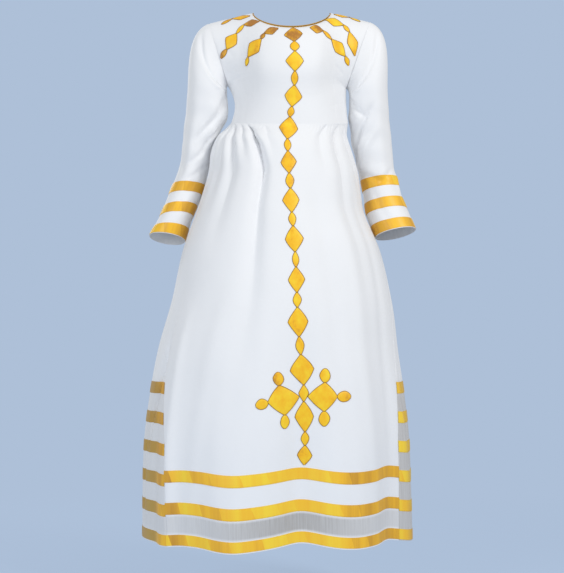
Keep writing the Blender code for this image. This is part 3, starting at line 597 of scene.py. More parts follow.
# %%
class Sock:
    def __init__(self, tree, socket):
        self.tree, self.socket = tree, socket

    def math(self, operation, other=None, swap=False):
        pair = (other, self) if swap else (self, other)
        return node(self.tree, "ShaderNodeMath", {"operation": operation}, pair if other is not None else (self,))

    def __add__(self, other):
        return self.math("ADD", other)

    __radd__ = __add__

    def __mul__(self, other):
        return self.math("MULTIPLY", other)

    __rmul__ = __mul__

    def __sub__(self, other):
        return self.math("SUBTRACT", other)

    def __rsub__(self, other):
        return self.math("SUBTRACT", other, swap=True)

    def above(self, other):
        return self.math("GREATER_THAN", other)

    def smaller(self, other):
        return self.math("MINIMUM", other)

    def larger(self, other):
        return self.math("MAXIMUM", other)


def node(tree, kind, settings=None, inputs=(), out=0):
    """A node by its type, with its settings first and then its inputs, by order or by name."""
    made = tree.nodes.new(kind)
    for key, value in (settings or {}).items():
        if key == "ramp":
            for k, (place, colour) in enumerate(value):
                stop = made.color_ramp.elements[k] if k < 2 else made.color_ramp.elements.new(place)
                stop.position, stop.color = place, colour
        else:
            setattr(made, key, value)
    pairs = inputs.items() if isinstance(inputs, dict) else enumerate(inputs)
    for key, value in pairs:
        if isinstance(value, Sock):
            tree.links.new(value.socket, made.inputs[key])
        elif value is not None:
            made.inputs[key].default_value = value
    return Sock(tree, made.outputs[out])


def new_finish(name, colour, roughness, **fixed):
    """A Principled material; what is the same all over is set on the shader's own sockets."""
    material = bpy.data.materials.new(name)
    material.use_nodes = True
    tree = material.node_tree
    shader = tree.nodes["Principled BSDF"]
    shader.inputs["Base Color"].default_value = (*colour, 1)
    shader.inputs["Roughness"].default_value = roughness
    for key, value in fixed.items():
        shader.inputs[key.replace("_", " ")].default_value = value
    return material, tree, shader


def drive(tree, shader, **sockets):
    for key, value in sockets.items():
        tree.links.new(value.socket, shader.inputs[key.replace("_", " ")])


def colours(tree, factor, low, high):
    return node(tree, "ShaderNodeMix", {"data_type": "RGBA"}, {0: factor, 6: (*low, 1), 7: (*high, 1)}, out=2)


def cloth_place(tree):
    return node(tree, "ShaderNodeUVMap", {"uv_map": "cloth"})


def painted(tree, name="tone"):
    return node(tree, "ShaderNodeAttribute", {"attribute_name": name}, out=2)


def stretched(tree, place, scale):
    return node(tree, "ShaderNodeMapping", {}, {"Vector": place, "Scale": scale})


def noise(tree, place, scale, detail=2.0, rough=0.5):
    values = {"Vector": place, "Scale": scale, "Detail": detail, "Roughness": rough}
    return node(tree, "ShaderNodeTexNoise", {}, values)


def raised(tree, height, distance, strength):
    return node(tree, "ShaderNodeBump", {}, {"Strength": strength, "Distance": distance, "Height": height})


def split(tree, place):
    parts = node(tree, "ShaderNodeSeparateXYZ", {}, (place,)).socket.node
    return Sock(tree, parts.outputs[0]), Sock(tree, parts.outputs[1])


# %% [markdown]
# ## The white cotton
#
# Habesha cloth is a light hand-woven cotton. Close up it is a plain weave with slubs, threads
# that are thicker here and there, and from afar it has a dull silky glow. The weave is a bump
# made from two sine waves at the thread spacing, the slubs are noise stretched along each thread,
# and a little sheen gives the glow at the edges.

# %%
THREAD = 0.55 * MM


def cotton(name, tint, shade, painted_shade_grey):
    material, tree, shader = new_finish(
        name, tint, 0.62, Sheen_Weight=0.2, Sheen_Roughness=0.45, Specular_IOR_Level=0.3
    )
    place = cloth_place(tree)
    u, v = split(tree, place)
    warp = (u * (2 * math.pi / THREAD)).math("SINE")
    weft = (v * (2 * math.pi / THREAD)).math("SINE")
    slub = noise(tree, stretched(tree, place, (900, 60, 1)), 1.0)
    slub_across = noise(tree, stretched(tree, place, (50, 1000, 1)), 1.0)
    cloud = noise(tree, place, 9.0, 3.0)
    streaks = noise(tree, stretched(tree, place, (260, 9, 1)), 1.0, 3.0, 0.65)
    plain = colours(tree, cloud * 0.5 + slub * 0.25 + slub_across * 0.25, shade, tint)
    # Painted shade: where the tone attribute is set, the cloth is painted towards a grey. It stands for the shade
    # inside the skirt seen through the sheer strip near the hem, for the gores between their ribbons, and for the
    # inside of the sleeves. Streaks make it uneven.
    painted_shade_amount = painted(tree) * (0.55 + streaks * 0.8)
    thread = warp * weft * 0.25 + slub * 0.6 + slub_across * 0.6
    drive(
        tree,
        shader,
        Base_Color=node(tree, "ShaderNodeMix", {"data_type": "RGBA"}, {0: painted_shade_amount, 6: plain, 7: (*painted_shade_grey, 1)}, out=2),
        Normal=raised(tree, thread, 0.25 * MM, 0.25),
    )
    return material


white = cotton("white_cotton", (0.90, 0.905, 0.92), (0.82, 0.83, 0.85), (0.45, 0.435, 0.42))

# %% [markdown]
# ## The satin ribbon
#
# Satin shows long floats of thread, so it mirrors light along the ribbon's width and looks now
# bright, now dark, wherever it bends. That bright and dark is also painted into its colour, in
# patches between a yellow painted highlight and a dark-gold painted shade. The finish is smooth
# along its length with fine lines across, and each edge has a sewn line.

# %%
# Painted light on the satin: the yellow is a painted highlight, and the dark gold is a painted shade that is also
# the colour of the stitches.
PAINTED_SHADE_AND_STITCH_GOLD, MID_GOLD, PAINTED_HIGHLIGHT_GOLD = (0.58, 0.28, 0.035, 1), (0.96, 0.53, 0.035, 1), (1.0, 0.70, 0.05, 1)
# Painted shade on the ribbons of the gores, where the tone attribute is set.
PAINTED_SHADE_BROWN_GOLD = (0.40, 0.25, 0.08, 1)


def ribbon_finish(name, width):
    material, tree, shader = new_finish(
        name, MID_GOLD[:3], 0.36, Specular_IOR_Level=0.35, Sheen_Weight=0.05, Sheen_Roughness=0.4, Anisotropic=0.4
    )
    place = cloth_place(tree)
    u, v = split(tree, place)
    bends = noise(tree, stretched(tree, place, (17, 1.5, 1)), 1.0, 2.0, 0.55)
    height = node(tree, "ShaderNodeSeparateXYZ", {}, (node(tree, "ShaderNodeTexCoord", out=3),), out=2)
    cell = node(
        tree,
        "ShaderNodeTexVoronoi",
        {"voronoi_dimensions": "1D"},
        {"W": u + bends * 0.02 + height * 0.3, "Scale": 17.0},
        out=1,
    )
    patch = node(tree, "ShaderNodeSeparateColor", {}, (cell,))
    fine = noise(tree, stretched(tree, place, (1400, 20, 1)), 1.0)
    streak = noise(tree, stretched(tree, place, (190, 5, 1)), 1.0)
    edge = (v * (-1 / width) - 0.5).math("ABSOLUTE")
    sewn = edge.above(0.43) * (1 - edge.above(0.455)) * (u * (2 * math.pi / (2.6 * MM))).math("SINE").above(-0.2)
    # Painted highlight and painted shade: noise along the ribbon and its patches pick between the dark gold, the
    # middle gold and the yellow, where the satin catches or loses the light as it bends.
    tone = bends * 1.1 - 0.28 + patch * 0.6 + streak * 0.2 - 0.16
    gold = node(
        tree, "ShaderNodeValToRGB", {"ramp": ((0.05, PAINTED_SHADE_AND_STITCH_GOLD), (0.78, PAINTED_HIGHLIGHT_GOLD), (0.42, MID_GOLD))}, (tone,)
    )
    # Painted shade: the tone attribute mixes the gold towards brown on the ribbons of the gores.
    gold_with_painted_shade = node(tree, "ShaderNodeMix", {"data_type": "RGBA"}, {0: painted(tree), 6: gold, 7: PAINTED_SHADE_BROWN_GOLD}, out=2)
    stitched = node(tree, "ShaderNodeMix", {"data_type": "RGBA"}, {0: sewn * 0.5, 6: gold_with_painted_shade, 7: PAINTED_SHADE_AND_STITCH_GOLD}, out=2)
    drive(
        tree,
        shader,
        Base_Color=stitched,
        Normal=raised(tree, fine * 0.3 + bends * 0.5 - sewn, 0.4 * MM, 0.35),
        Roughness=bends * 0.12 + 0.34,
    )
    return material


hem_gold = ribbon_finish("hem_ribbon_satin", HEM_RIBBON * MM)
cuff_gold = ribbon_finish("cuff_ribbon_satin", CUFF_RIBBON * MM)

# %% [markdown]
# ## Cutting the skirt panels and their ribbons
#
# The skirt has a front, a back and two gores. Their edges follow the seams round the form, and
# the rows are closer at the waist, where the gathers are small. The ribbons lie on the same
# surface, a fifth of a millimetre out, with a slight pucker along each sewn edge.

# %%
SEAM_SHARES = (0.0025, 0.006)


def skirt_grid(side, columns, heights):
    """Points and normals of a skirt panel, with normals taken across its seams."""
    start, end = seam_angles(heights)[side]
    shares = np.linspace(0, 1, columns)
    shares = np.sort(np.concatenate((shares, SEAM_SHARES, 1 - np.array(SEAM_SHARES))))
    angle = start[:, None] + (end - start)[:, None] * shares
    height = np.broadcast_to(heights[:, None], angle.shape)
    points = skirt_surface(angle, height)
    across = skirt_surface(angle + 0.25, height) - skirt_surface(angle - 0.25, height)
    down = skirt_surface(angle, height - 1.0) - skirt_surface(angle, np.minimum(height + 1.0, WAIST))
    down[height >= WAIST] = (0, 0, -1)
    normals = np.cross(down, across)
    return points, normals / np.linalg.norm(normals, axis=-1, keepdims=True)


def levels(top, bottom, count, crowd):
    return top + (bottom - top) * np.linspace(0, 1, count) ** crowd


def ribbon(points, normals, closed=False, gathered=0.35, seed=0, tone=0.0):
    """A ribbon on a stretch of cloth: a thin band, its edges drawn down by the stitching."""
    across = np.linspace(-1, 1, points.shape[0])[:, None]
    run = np.cumsum(np.linalg.norm(np.diff(points[0], axis=0, prepend=points[0][:1]), axis=-1))
    lap = run[-1] + np.linalg.norm(points[0, 0] - points[0, -1])
    turns = (round(lap / (5.2 * MM)), round(lap / (37 * MM)), round(lap / (90 * MM)))
    quick, slow, slowest = (2 * np.pi * run / lap * count + seed for count in turns)
    strength = gathered * MM * (0.55 + 0.45 * np.sin(slowest))
    pucker = strength * np.sin(quick + 1.8 * np.sin(slow)) * (1 - 0.7 * across**2)
    high = 0.95 * MM - 0.3 * MM * across**8 + pucker
    return wall(points, normals, 0.2 * MM, high, closed=closed, tone=tone)


def sheer_strip_painted_shade(height, angle):
    """How much painted shade the strip between the two lowest ribbons gets: the cloth there is nearly sheer, and
    its grey stands for the shade inside the skirt seen through it, most at the middle of the front.
    """
    strip = soft((height - HEM - HEM_RIBBON) / 4) * soft((HEM + FRONT_PITCH - height) / 4)
    middle = 0.35 + 0.65 * bump(turn_between(angle, 92), 42)
    return strip * middle


def gore_painted_shade(side, heights, shape):
    """Painted shade: the gores turn away from the light, so they are painted greyer between their ribbons."""
    greyest = {"side_right": 0.75, "side_left": 0.25}.get(side, 0.0)
    return np.broadcast_to(greyest * soft((-900 - heights) / 60)[:, None], shape)


def ribbon_painted_shade(side, shape):
    """Painted shade: the ribbons of the gores are painted a browner gold where they turn away from the light, but
    for a bright stretch at the front seam.
    """
    if side in ("front", "back"):
        return np.zeros(shape[:2])
    share = np.linspace(0, 1, shape[1])
    from_front = 1 - share if side == "side_left" else share
    darkest = 0.8 if side == "side_left" else 0.35
    return np.broadcast_to(darkest * soft((from_front - 0.10) / 0.08), shape[:2])


RIBBON_ROWS = 9
HEM_MARGIN = 2.5
SKIRT_PANELS = {
    # columns, rows, how many ribbons, their pitch, the ribbons' nodes
    "front": (236, 200, 3, FRONT_PITCH, "hem_band_front"),
    "back": (190, 150, 3, FRONT_PITCH, "hem_band_back"),
    "side_left": (56, 150, 6, SIDE_PITCH, "side_band_left"),
    "side_right": (48, 150, 6, SIDE_PITCH, "side_band_right"),
}
skirt_front_grid = None
for side, (columns, rows, bands, pitch, band_name) in SKIRT_PANELS.items():
    heights = levels(WAIST, HEM, rows, 1.35)
    points, normals = skirt_grid(side, columns, heights)
    if side == "front":
        skirt_front_grid = points.copy()
    angle = np.degrees(np.arctan2(-points[..., 1], -points[..., 0])) % 360
    # The tone paints shade: the sheer strip shows the shade inside the skirt, and the gores are greyer between
    # their ribbons.
    tone = sheer_strip_painted_shade(np.broadcast_to(heights[:, None], angle.shape), angle)
    tone = np.maximum(tone, gore_painted_shade(side, heights, angle.shape))
    dip_edges(points, normals, ("left", "right"))
    part = wall(points, normals, -CLOTH, 0.0, tone=tone)
    sew(f"skirt_{side}_cloth", [part], white, [f"skirt_{side}"])
    for k in range(bands):
        low = HEM + k * pitch
        margin = HEM_MARGIN if k == 0 else 0
        points, normals = skirt_grid(side, columns, np.linspace(low + HEM_RIBBON, low + margin, RIBBON_ROWS))
        part = ribbon(points, normals, seed=k + len(made), tone=ribbon_painted_shade(side, points.shape))
        piece = sew(f"{band_name}_{k + 1}_satin", [part], hem_gold, [f"{band_name}_{k + 1}"])
        cut_ribbon(points, HEM_RIBBON * MM)
print("skirt pieces:", len(made))

# %% [markdown]
# ## Cutting the bodice and the sleeves
#
# The bodice's front and back are cut from the form between their edges, and each sleeve is one
# tube from the armhole to the cuff, with three ribbons laid round it. The inside of a sleeve is
# painted a little greyer, painted shade, as the light hardly gets there.

# %%
BODICE_GRIDS = {"front": (150, 110), "back": (120, 90)}
bodice_grids = {}
for name, (columns, rows) in BODICE_GRIDS.items():
    front = name == "front"
    down, across = np.meshgrid(np.linspace(0, 1, rows), np.linspace(0, 1, columns), indexing="ij")
    points = bodice_surface(across, down, front)
    points = points if front else points[:, ::-1]
    normals = grid_normals(points, closed=False)
    normals[-1, :, 2] = 0
    normals[-1] /= np.linalg.norm(normals[-1], axis=-1, keepdims=True)
    bodice_grids[name] = points.copy(), normals
    dip_edges(points, normals, ("left", "right"))
    sew(f"bodice_{name}_cloth", [wall(points, normals, -CLOTH, 0.0)], white, [f"bodice_{name}"])

SLEEVE_COLUMNS, SLEEVE_ROWS = 110, 180
GATHERED = {(-1, 0): 0.75, (-1, 1): 0.5}
for side, side_name in SIDES.items():
    length = sleeve_length(side)[-1]
    turns = np.linspace(0, 2 * np.pi, SLEEVE_COLUMNS, endpoint=False) * (-side)
    distance, turn = np.meshgrid(np.linspace(-CAP, length, SLEEVE_ROWS), turns, indexing="ij")
    points = sleeve_surface(side, turn, distance)
    normals = grid_normals(points, closed=True)
    # Painted shade: the inner wall of the sleeve is painted greyer, as the light hardly gets inside.
    part = wall(points, normals, -CLOTH, 0.0, closed=True, inside=0.3)
    sew(f"sleeve_{side_name}_cloth", [part], white, [f"sleeve_{side_name}"])
    for k in range(CUFF_BANDS):
        low = length - k * CUFF_PITCH
        margin = CUFF_MARGIN if k == 0 else 0
        distance, turn = np.meshgrid(
            np.linspace(low - CUFF_RIBBON, low - margin, RIBBON_ROWS), turns, indexing="ij"
        )
        points = sleeve_surface(side, turn, distance)
        part = ribbon(
            points, grid_normals(points, closed=True), closed=True, gathered=GATHERED.get((side, k), 0.3), seed=k
        )
        node_name = f"cuff_band_{side_name}_{k + 1}"
        piece = sew(f"{node_name}_satin", [part], cuff_gold, [node_name])
        cut_ribbon(points, CUFF_RIBBON * MM, closed=True)
print("pieces with the bodice and sleeves:", len(made))

# %% [markdown]
# ## The gold applique
#
# Down the front runs a chain of lozenges and small ovals cut from gold satin, laid on the cloth
# and couched round with a darker cord. The two edge cords cross at every joint, so each one runs
# down the whole chain, now on the left and now on the right. The fill is satin with a soft
# padding, and its thread runs across; its colour is painted in patches of yellow painted
# highlight and dark painted shade. Motifs near the neck are of a browner gold.

# %%


def applique_finish():
    material, tree, shader = new_finish(
        "gold_applique_satin",
        (0.92, 0.50, 0.03),
        0.46,
        Specular_IOR_Level=0.3,
        Sheen_Weight=0.05,
        Sheen_Roughness=0.4,
    )
    place = cloth_place(tree)
    spot = node(tree, "ShaderNodeTexCoord", out=3)
    patches = noise(tree, stretched(tree, spot, (38, 38, 30)), 1.0, 3.0, 0.6)
    floats = noise(tree, stretched(tree, place, (60, 1900, 1)), 1.0)
    # Painted highlight and painted shade: noise patches pick between a dark brown-gold, the middle gold and a
    # yellow highlight. The tone attribute, how brown each motif is, darkens it further.
    fill = node(
        tree,
        "ShaderNodeValToRGB",
        {"ramp": ((0.1, (0.46, 0.20, 0.04, 1)), (0.9, (1.0, 0.70, 0.035, 1)), (0.45, (0.96, 0.51, 0.02, 1)))},
        (patches * 1.5 - 0.1 + floats * 0.2 - 0.1 - painted(tree) * 0.5,),
    )
    drive(
        tree,
        shader,
        Base_Color=fill,
        Normal=raised(tree, floats + patches * 0.6, 0.35 * MM, 0.4),
        Roughness=patches * 0.2 + 0.32,
    )
    return material


def couching_finish():
    material, tree, shader = new_finish("couching_cord", (0.34, 0.16, 0.02), 0.5, Specular_IOR_Level=0.4)
    u, v = split(tree, cloth_place(tree))
    twist = ((u + v) * (2 * math.pi / (1.3 * MM))).math("SINE")
    # Painted shade: the grooves of the twist are painted darker and its crests lighter, following the bump.
    drive(
        tree,
        shader,
        Base_Color=colours(tree, twist * 0.5 + 0.5, (0.20, 0.085, 0.012), (0.52, 0.26, 0.03)),
        Normal=raised(tree, twist, 0.3 * MM, 0.6),
    )
    return material


applique_gold, couching = applique_finish(), couching_finish()

# %% [markdown]
# ## The motifs' places
#
# The chain is written down as on a paper pattern: for each motif its kind, its width and the
# joint below it, in millimetres, as seen from the front.

# %%
CHAIN_TOP = (6, -58)
CHAIN = (
    # kind, width, joint below it (across, height), how brown the gold is
    ("lozenge", 46, 10, -95, 0.9), ("oval", 24, 11, -120, 0.6), ("lozenge", 44, 11, -169, 0.0),
    ("oval", 18, 10, -202, 0.1), ("lozenge", 43, 4, -253, 0.0), ("oval", 17, -1, -278, 0.1),
    ("lozenge", 47, -7, -334, 0.15), ("oval", 18, -6, -364, 0.2), ("lozenge", 38, -3, -418, 0.3),
    ("oval", 21, 0, -455, 0.35), ("lozenge", 41, 3, -513, 0.3), ("oval", 19, 6, -546, 0.15),
    ("lozenge", 45, 11, -608, 0.05), ("oval", 17, 13, -644, 0.15), ("lozenge", 40, 15, -704, 0.0),
    ("oval", 21, 16, -739, 0.1), ("lozenge", 49, 20, -808, 0.05), ("oval", 21, 24, -850, 0.1),
    ("lozenge", 58, 31, -921, 0.0), ("lozenge", 25, 31, -960, 0.2), ("lozenge", 46, 34, -1031, 0.1),
    ("oval", 20, 34, -1063, 0.1), ("lozenge", 37, 32, -1109, 0.15),
)
CROSS_ARMS = (
    # the corners of each lozenge: left, top, right and bottom
    ((-53, -961), (-27, -922), (20, -949), (-13, -991)),
    ((41, -948), (81, -916), (110, -949), (79, -983)),
)
CROSS_DROPS = (
    # the corner that each small oval hangs on, its far end, and its half width
    ((-27, -922), (-30, -891), 13), ((-53, -961), (-81, -970), 13), ((-13, -991), (-14, -1023), 11),
    ((81, -916), (81, -883), 13), ((110, -949), (142, -949), 13.5), ((79, -983), (79, -1018), 13.5),
)
NECK_CHAINS = {
    # the joints down each chain (with their depth), the motifs' widths, and how brown each is
    "left_inner": (
        ((-29, -93, -60), (-63, -93, -71), (-71, -98, -85), (-101, -82, -127), (-106, -78, -148)),
        (26, 13, 42, 14),
        (1, 0.9, 0.3, 0.1),
    ),
    "left_middle": (
        ((-76, -58, -36), (-113, -48, -41), (-132, -53, -63), (-156, -50, -101), (-171, -39, -121)),
        (26, 13, 37, 14),
        (1, 0.3, 0.2, 0.6),
    ),
    "left_shoulder": (((-99, -27, -15), (-144, -15, -19), (-170, -24, -35)), (26, 13), (0.3, 0.5)),
    "right_inner": (
        ((48, -89, -57), (80, -84, -62), (99, -75, -83), (135, -57, -119), (144, -45, -140)),
        (28, 13, 34, 14),
        (0.7, 0.6, 0, 0.2),
    ),
    "right_middle": (
        ((84, -45, -30), (131, -41, -40), (146, -45, -58), (159, -42, -116)),
        (33, 13, 30),
        (0, 0.3, 0.1),
    ),
    "right_shoulder": (((109, -15, -8), (147, -6, -14), (174, -17, -26)), (26, 13), (0.2, 0.4)),
}
JOINT_HALF = 1.2
MOTIF_ROWS, MOTIF_COLUMNS = 21, 11
PADDING = 1.3 * MM
CORD_RADIUS = 0.75 * MM
SMALLEST_TURN = 7.0


def reach(kind, along):
    """How far a motif reaches out at a share of its length, from 0 at a joint to 1."""
    arc = np.sin(np.pi * along)
    if kind == "lozenge":
        return 0.56 * (1 - np.abs(1 - 2 * along)) + 0.44 * arc
    return arc ** (0.95 if kind == "oval" else 0.6)


def motif_spots(kind, start, end, left_reach, right_reach):
    """A grid of spots over a motif drawn flat, in mm, and how plump it is there."""
    start, run = np.array(start, float), np.subtract(end, start).astype(float)
    turns = np.linspace(0, 1, MOTIF_ROWS)
    along = (0.5 - 0.5 * np.cos(np.pi * turns))[:, None]
    across = np.linspace(-1, 1, MOTIF_COLUMNS)[None, :]
    side = np.array((-run[1], run[0])) / np.hypot(*run)
    side = side if side[0] > 0 or (side[0] == 0 and side[1] > 0) else -side
    edge = JOINT_HALF + CORD_RADIUS / MM
    half = (np.where(across < 0, left_reach, right_reach) - edge) * reach(kind, along) + JOINT_HALF
    half = half * (1 + 0.035 * np.sin(7.3 * along + start[1] / 9 + across))
    plump = np.sqrt(np.maximum(0, 1 - across**2)) * np.minimum(1, half / SMALLEST_TURN)
    return start + run * along[..., None] + side * (half * across)[..., None], plump


def lozenge_spots(left, top, right, bottom):
    """A grid of spots over a lozenge with four given corners, its edges bowed out a little."""
    corners = [np.array(corner, float) for corner in (left, top, right, bottom)]
    middle = sum(corners) / 4
    along = (0.5 - 0.5 * np.cos(np.pi * np.linspace(0, 1, MOTIF_ROWS)))[:, None]
    across = np.linspace(-1, 1, MOTIF_COLUMNS)[None, :, None]
    edges = []
    for peak, way in ((corners[1], 1), (corners[3], -1)):
        rising, falling = mix(corners[0], peak, along * 2), mix(peak, corners[2], along * 2 - 1)
        edge = np.where(along < 0.5, rising, falling)
        bow = 0.09 * np.abs(np.sin(2 * np.pi * along))
        edge = edge + (edge - middle) * bow
        edge[:, 1] += way * JOINT_HALF
        edges.append(edge[:, None])
    half = np.linalg.norm(edges[0] - edges[1], axis=-1) / 2
    plump = np.sqrt(np.maximum(0, 1 - across[..., 0] ** 2)) * np.minimum(1, half / SMALLEST_TURN)
    return mix(edges[1], edges[0], (across + 1) / 2), plump


# %% [markdown]
# ## Laying the motifs on the cloth
#
# A flat motif has to lie on curved cloth. The Shrinkwrap modifier in Project mode does that for
# a whole object. Here the same thing is done with rays, because the cushion's thickness and the
# cords' crossings are worked out from the same spots.

# %%


def cloth_tree(grids):
    spots, faces = [], []
    for points in grids:
        rows, columns = points.shape[:2]
        index = np.arange(rows * columns).reshape(rows, columns) + sum(map(len, spots))
        spots.append(points.reshape(-1, 3))
        corners = (index[:-1, :-1], index[1:, :-1], index[1:, 1:], index[:-1, 1:])
        faces.append(np.stack(corners, axis=-1).reshape(-1, 4))
    return BVHTree.FromPolygons(np.concatenate(spots).tolist(), np.concatenate(faces).tolist())


front_cloth = cloth_tree([bodice_grids["front"][0], skirt_front_grid])
RAY_START = 0.3


def lay(spots, across, up, facing):
    """Lay flat spots, in mm, on the cloth behind them; returns points and normals."""
    points = np.empty(spots.shape[:-1] + (3,))
    for place in np.ndindex(spots.shape[:-1]):
        flat = spots[place] * MM
        start = Vector(across * flat[0] + up * flat[1] + facing * RAY_START)
        hit, _, _, _ = front_cloth.ray_cast(start, Vector(-facing))
        if hit is None:
            hit = front_cloth.find_nearest(start - Vector(facing) * RAY_START)[0]
        points[place] = hit
    normals = grid_normals(points, closed=False)
    return points, normals * np.sign(np.sum(normals * facing, axis=-1, keepdims=True))


def padded_motif(points, normals, plump, tone):
    flip = np.sum(np.cross(points[-1, 5] - points[0, 5], points[10, -1] - points[10, 0]) * normals[10, 5]) < 0
    if flip:
        points, normals, plump = points[:, ::-1], normals[:, ::-1], plump[:, ::-1]
    return wall(points, normals, 0.15 * MM, 0.5 * MM + PADDING * plump, tone=tone)


def couched_chain(motifs):
    """The two cords along a chain's edges, which change sides at each joint."""
    cords = []
    for cord in (0, 1):
        path, out = [], []
        for k, (points, normals) in enumerate(motifs):
            edge = 0 if (k + cord) % 2 == 0 else -1
            last = k == len(motifs) - 1
            rows = slice(0, MOTIF_ROWS if last else MOTIF_ROWS - 1)
            crossing = 0.9 * MM * (1 if cord else 0)
            share = np.linspace(0, 1, MOTIF_ROWS)
            lift = 0.55 * MM + crossing * (bump(share, 0.12) + bump(share - 1, 0.12))
            path.append((points[:, edge] + normals[:, edge] * lift[:, None])[rows])
            out.append(normals[:, edge][rows])
        cords.append(tube(np.concatenate(path), np.concatenate(out), CORD_RADIUS, 6))
    return cords


def couched_motif(points, normals):
    path = np.concatenate((points[:, 0], points[::-1, -1]))
    out = np.concatenate((normals[:, 0], normals[::-1, -1]))
    return tube(path + out * 0.6 * MM, out, CORD_RADIUS, 6, closed=True)


FRONT_PLANE = np.array((1.0, 0, 0)), np.array((0, 0, 1.0)), np.array((0, -1.0, 0))
cushions, cords, chain_motifs = [], [], []
start = CHAIN_TOP
for kind, width, x, z, brown in CHAIN:
    spots, plump = motif_spots(kind, start, (x, z), width / 2, width / 2)
    points, normals = lay(spots, *FRONT_PLANE)
    chain_motifs.append((points, normals))
    cushions.append(padded_motif(points, normals, plump, brown))
    start = (x, z)
cords += couched_chain(chain_motifs)
cross = [lozenge_spots(*corners) for corners in CROSS_ARMS]
cross += [motif_spots("drop", joint, far, half, half) for joint, far, half in CROSS_DROPS]
for spots, plump in cross:
    points, normals = lay(spots, *FRONT_PLANE)
    cushions.append(padded_motif(points, normals, plump, 0.0))
    cords.append(couched_motif(points, normals))
sew("chain_front_satin", cushions, applique_gold, ["chain_bodice", "chain_skirt"])
sew("chain_front_cord", cords, couching, [])
print("motifs down the front:", len(cushions))

# %% [markdown]
# ## The chains that fan out from the neck
#
# Three short chains lie on each side of the neckline and run over the chest and the shoulder. Each
# is drawn on the plane that best faces its own stretch of cloth, so that its motifs keep their
# shape on the slope of the shoulder.

# %%
KINDS = ("lozenge", "oval", "lozenge", "oval")
for name, (joints, widths, browns) in NECK_CHAINS.items():
    found = [front_cloth.find_nearest(Vector(joint) * MM) for joint in joints]
    facing = sum((normal if normal.y < 0 else -normal for _, normal, _, _ in found), Vector()).normalized()
    run = found[-1][0] - found[0][0]
    up = (run - facing * run.dot(facing)).normalized()
    across = up.cross(facing)
    flat = [(spot.dot(across) / MM, spot.dot(up) / MM) for spot, _, _, _ in found]
    plane = np.array(across), np.array(up), np.array(facing)
    cushions, motifs = [], []
    for k, (width, brown) in enumerate(zip(widths, browns)):
        spots, plump = motif_spots(KINDS[k], flat[k], flat[k + 1], width / 2, width / 2)
        points, normals = lay(spots, *plane)
        motifs.append((points, normals))
        cushions.append(padded_motif(points, normals, plump, brown))
    node_name = f"neck_chain_{name}"
    sew(f"{node_name}_satin", cushions, applique_gold, [node_name])
    sew(f"{node_name}_cord", couched_chain(motifs), couching, [])

# %% [markdown]
# ## The piping round the neck
#
# A narrow gold piping finishes the neckline. It is a twisted cord that runs along the top edges
# of the front and the back.

# %%
PIPING_RADIUS = 1.6 * MM


def piping_finish():
    material, tree, shader = new_finish("gold_piping", (0.62, 0.33, 0.05), 0.42, Specular_IOR_Level=0.5)
    u, v = split(tree, cloth_place(tree))
    twist = ((u + v * 0.8) * (2 * math.pi / (2.4 * MM))).math("SINE")
    # Painted shade: the grooves of the twist are painted darker and its crests lighter, following the bump.
    drive(
        tree,
        shader,
        Base_Color=colours(tree, twist * 0.5 + 0.5, (0.42, 0.19, 0.02), (0.90, 0.52, 0.06)),
        Normal=raised(tree, twist, 0.5 * MM, 0.6),
    )
    return material


ring_points, ring_normals = [], []
for name, shoulder in (("front", SHOULDER_FRONT), ("back", SHOULDER_BACK)):
    points, normals = bodice_grids[name]
    share = np.linspace(0, 1, points.shape[1])
    on_neck = (share > shoulder - 1e-9) & (share < 1 - shoulder + 1e-9)
    ring_points.append(points[0][on_neck])
    ring_normals.append(normals[0][on_neck])
ring, out = np.concatenate(ring_points), np.concatenate(ring_normals)
along = np.roll(ring, -1, axis=0) - np.roll(ring, 1, axis=0)
rise = np.cross(out, along)
rise /= np.linalg.norm(rise, axis=-1, keepdims=True)
ring = ring + rise * (0.2 * MM + PIPING_RADIUS) - out * CLOTH / 2
part = tube(ring, out, PIPING_RADIUS, 10, closed=True)
sew("neck_piping", [part], piping_finish(), ["neck_binding"])

# %% [markdown]
# ## The camera, the floor and the light
#
# The dress is seen from straight in front and from the height of its knees, with a long lens. The
# picture's horizon lies below its middle, so the lens is shifted up a little, as on a view camera.
# The floor fades out at its rim, so the pale blue of the background closes behind it. Whatever the
# background's colour, the light that it sheds is nearly white, as in a studio.

# %%
VIEW_DISTANCE, VIEW_HEIGHT, VIEW_X = 3.4, -0.7925, -0.020
PICTURE = (564, 573)
FOCAL_PIXELS, HORIZON_PIXEL = 1360, 330
SENSOR_HEIGHT = 24
PALE_BLUE = (0.423, 0.527, 0.686)
bpy.ops.object.camera_add(location=(VIEW_X, -VIEW_DISTANCE, VIEW_HEIGHT), rotation=(math.pi / 2, 0, 0))
camera = bpy.context.object
camera.name = "view_camera"
camera.data.sensor_fit = "VERTICAL"
camera.data.sensor_height = SENSOR_HEIGHT
camera.data.lens = FOCAL_PIXELS / PICTURE[1] * SENSOR_HEIGHT
camera.data.shift_y = (HORIZON_PIXEL - PICTURE[1] / 2) / PICTURE[1]
bpy.context.scene.camera = camera
bpy.context.scene.view_settings.view_transform = "Standard"

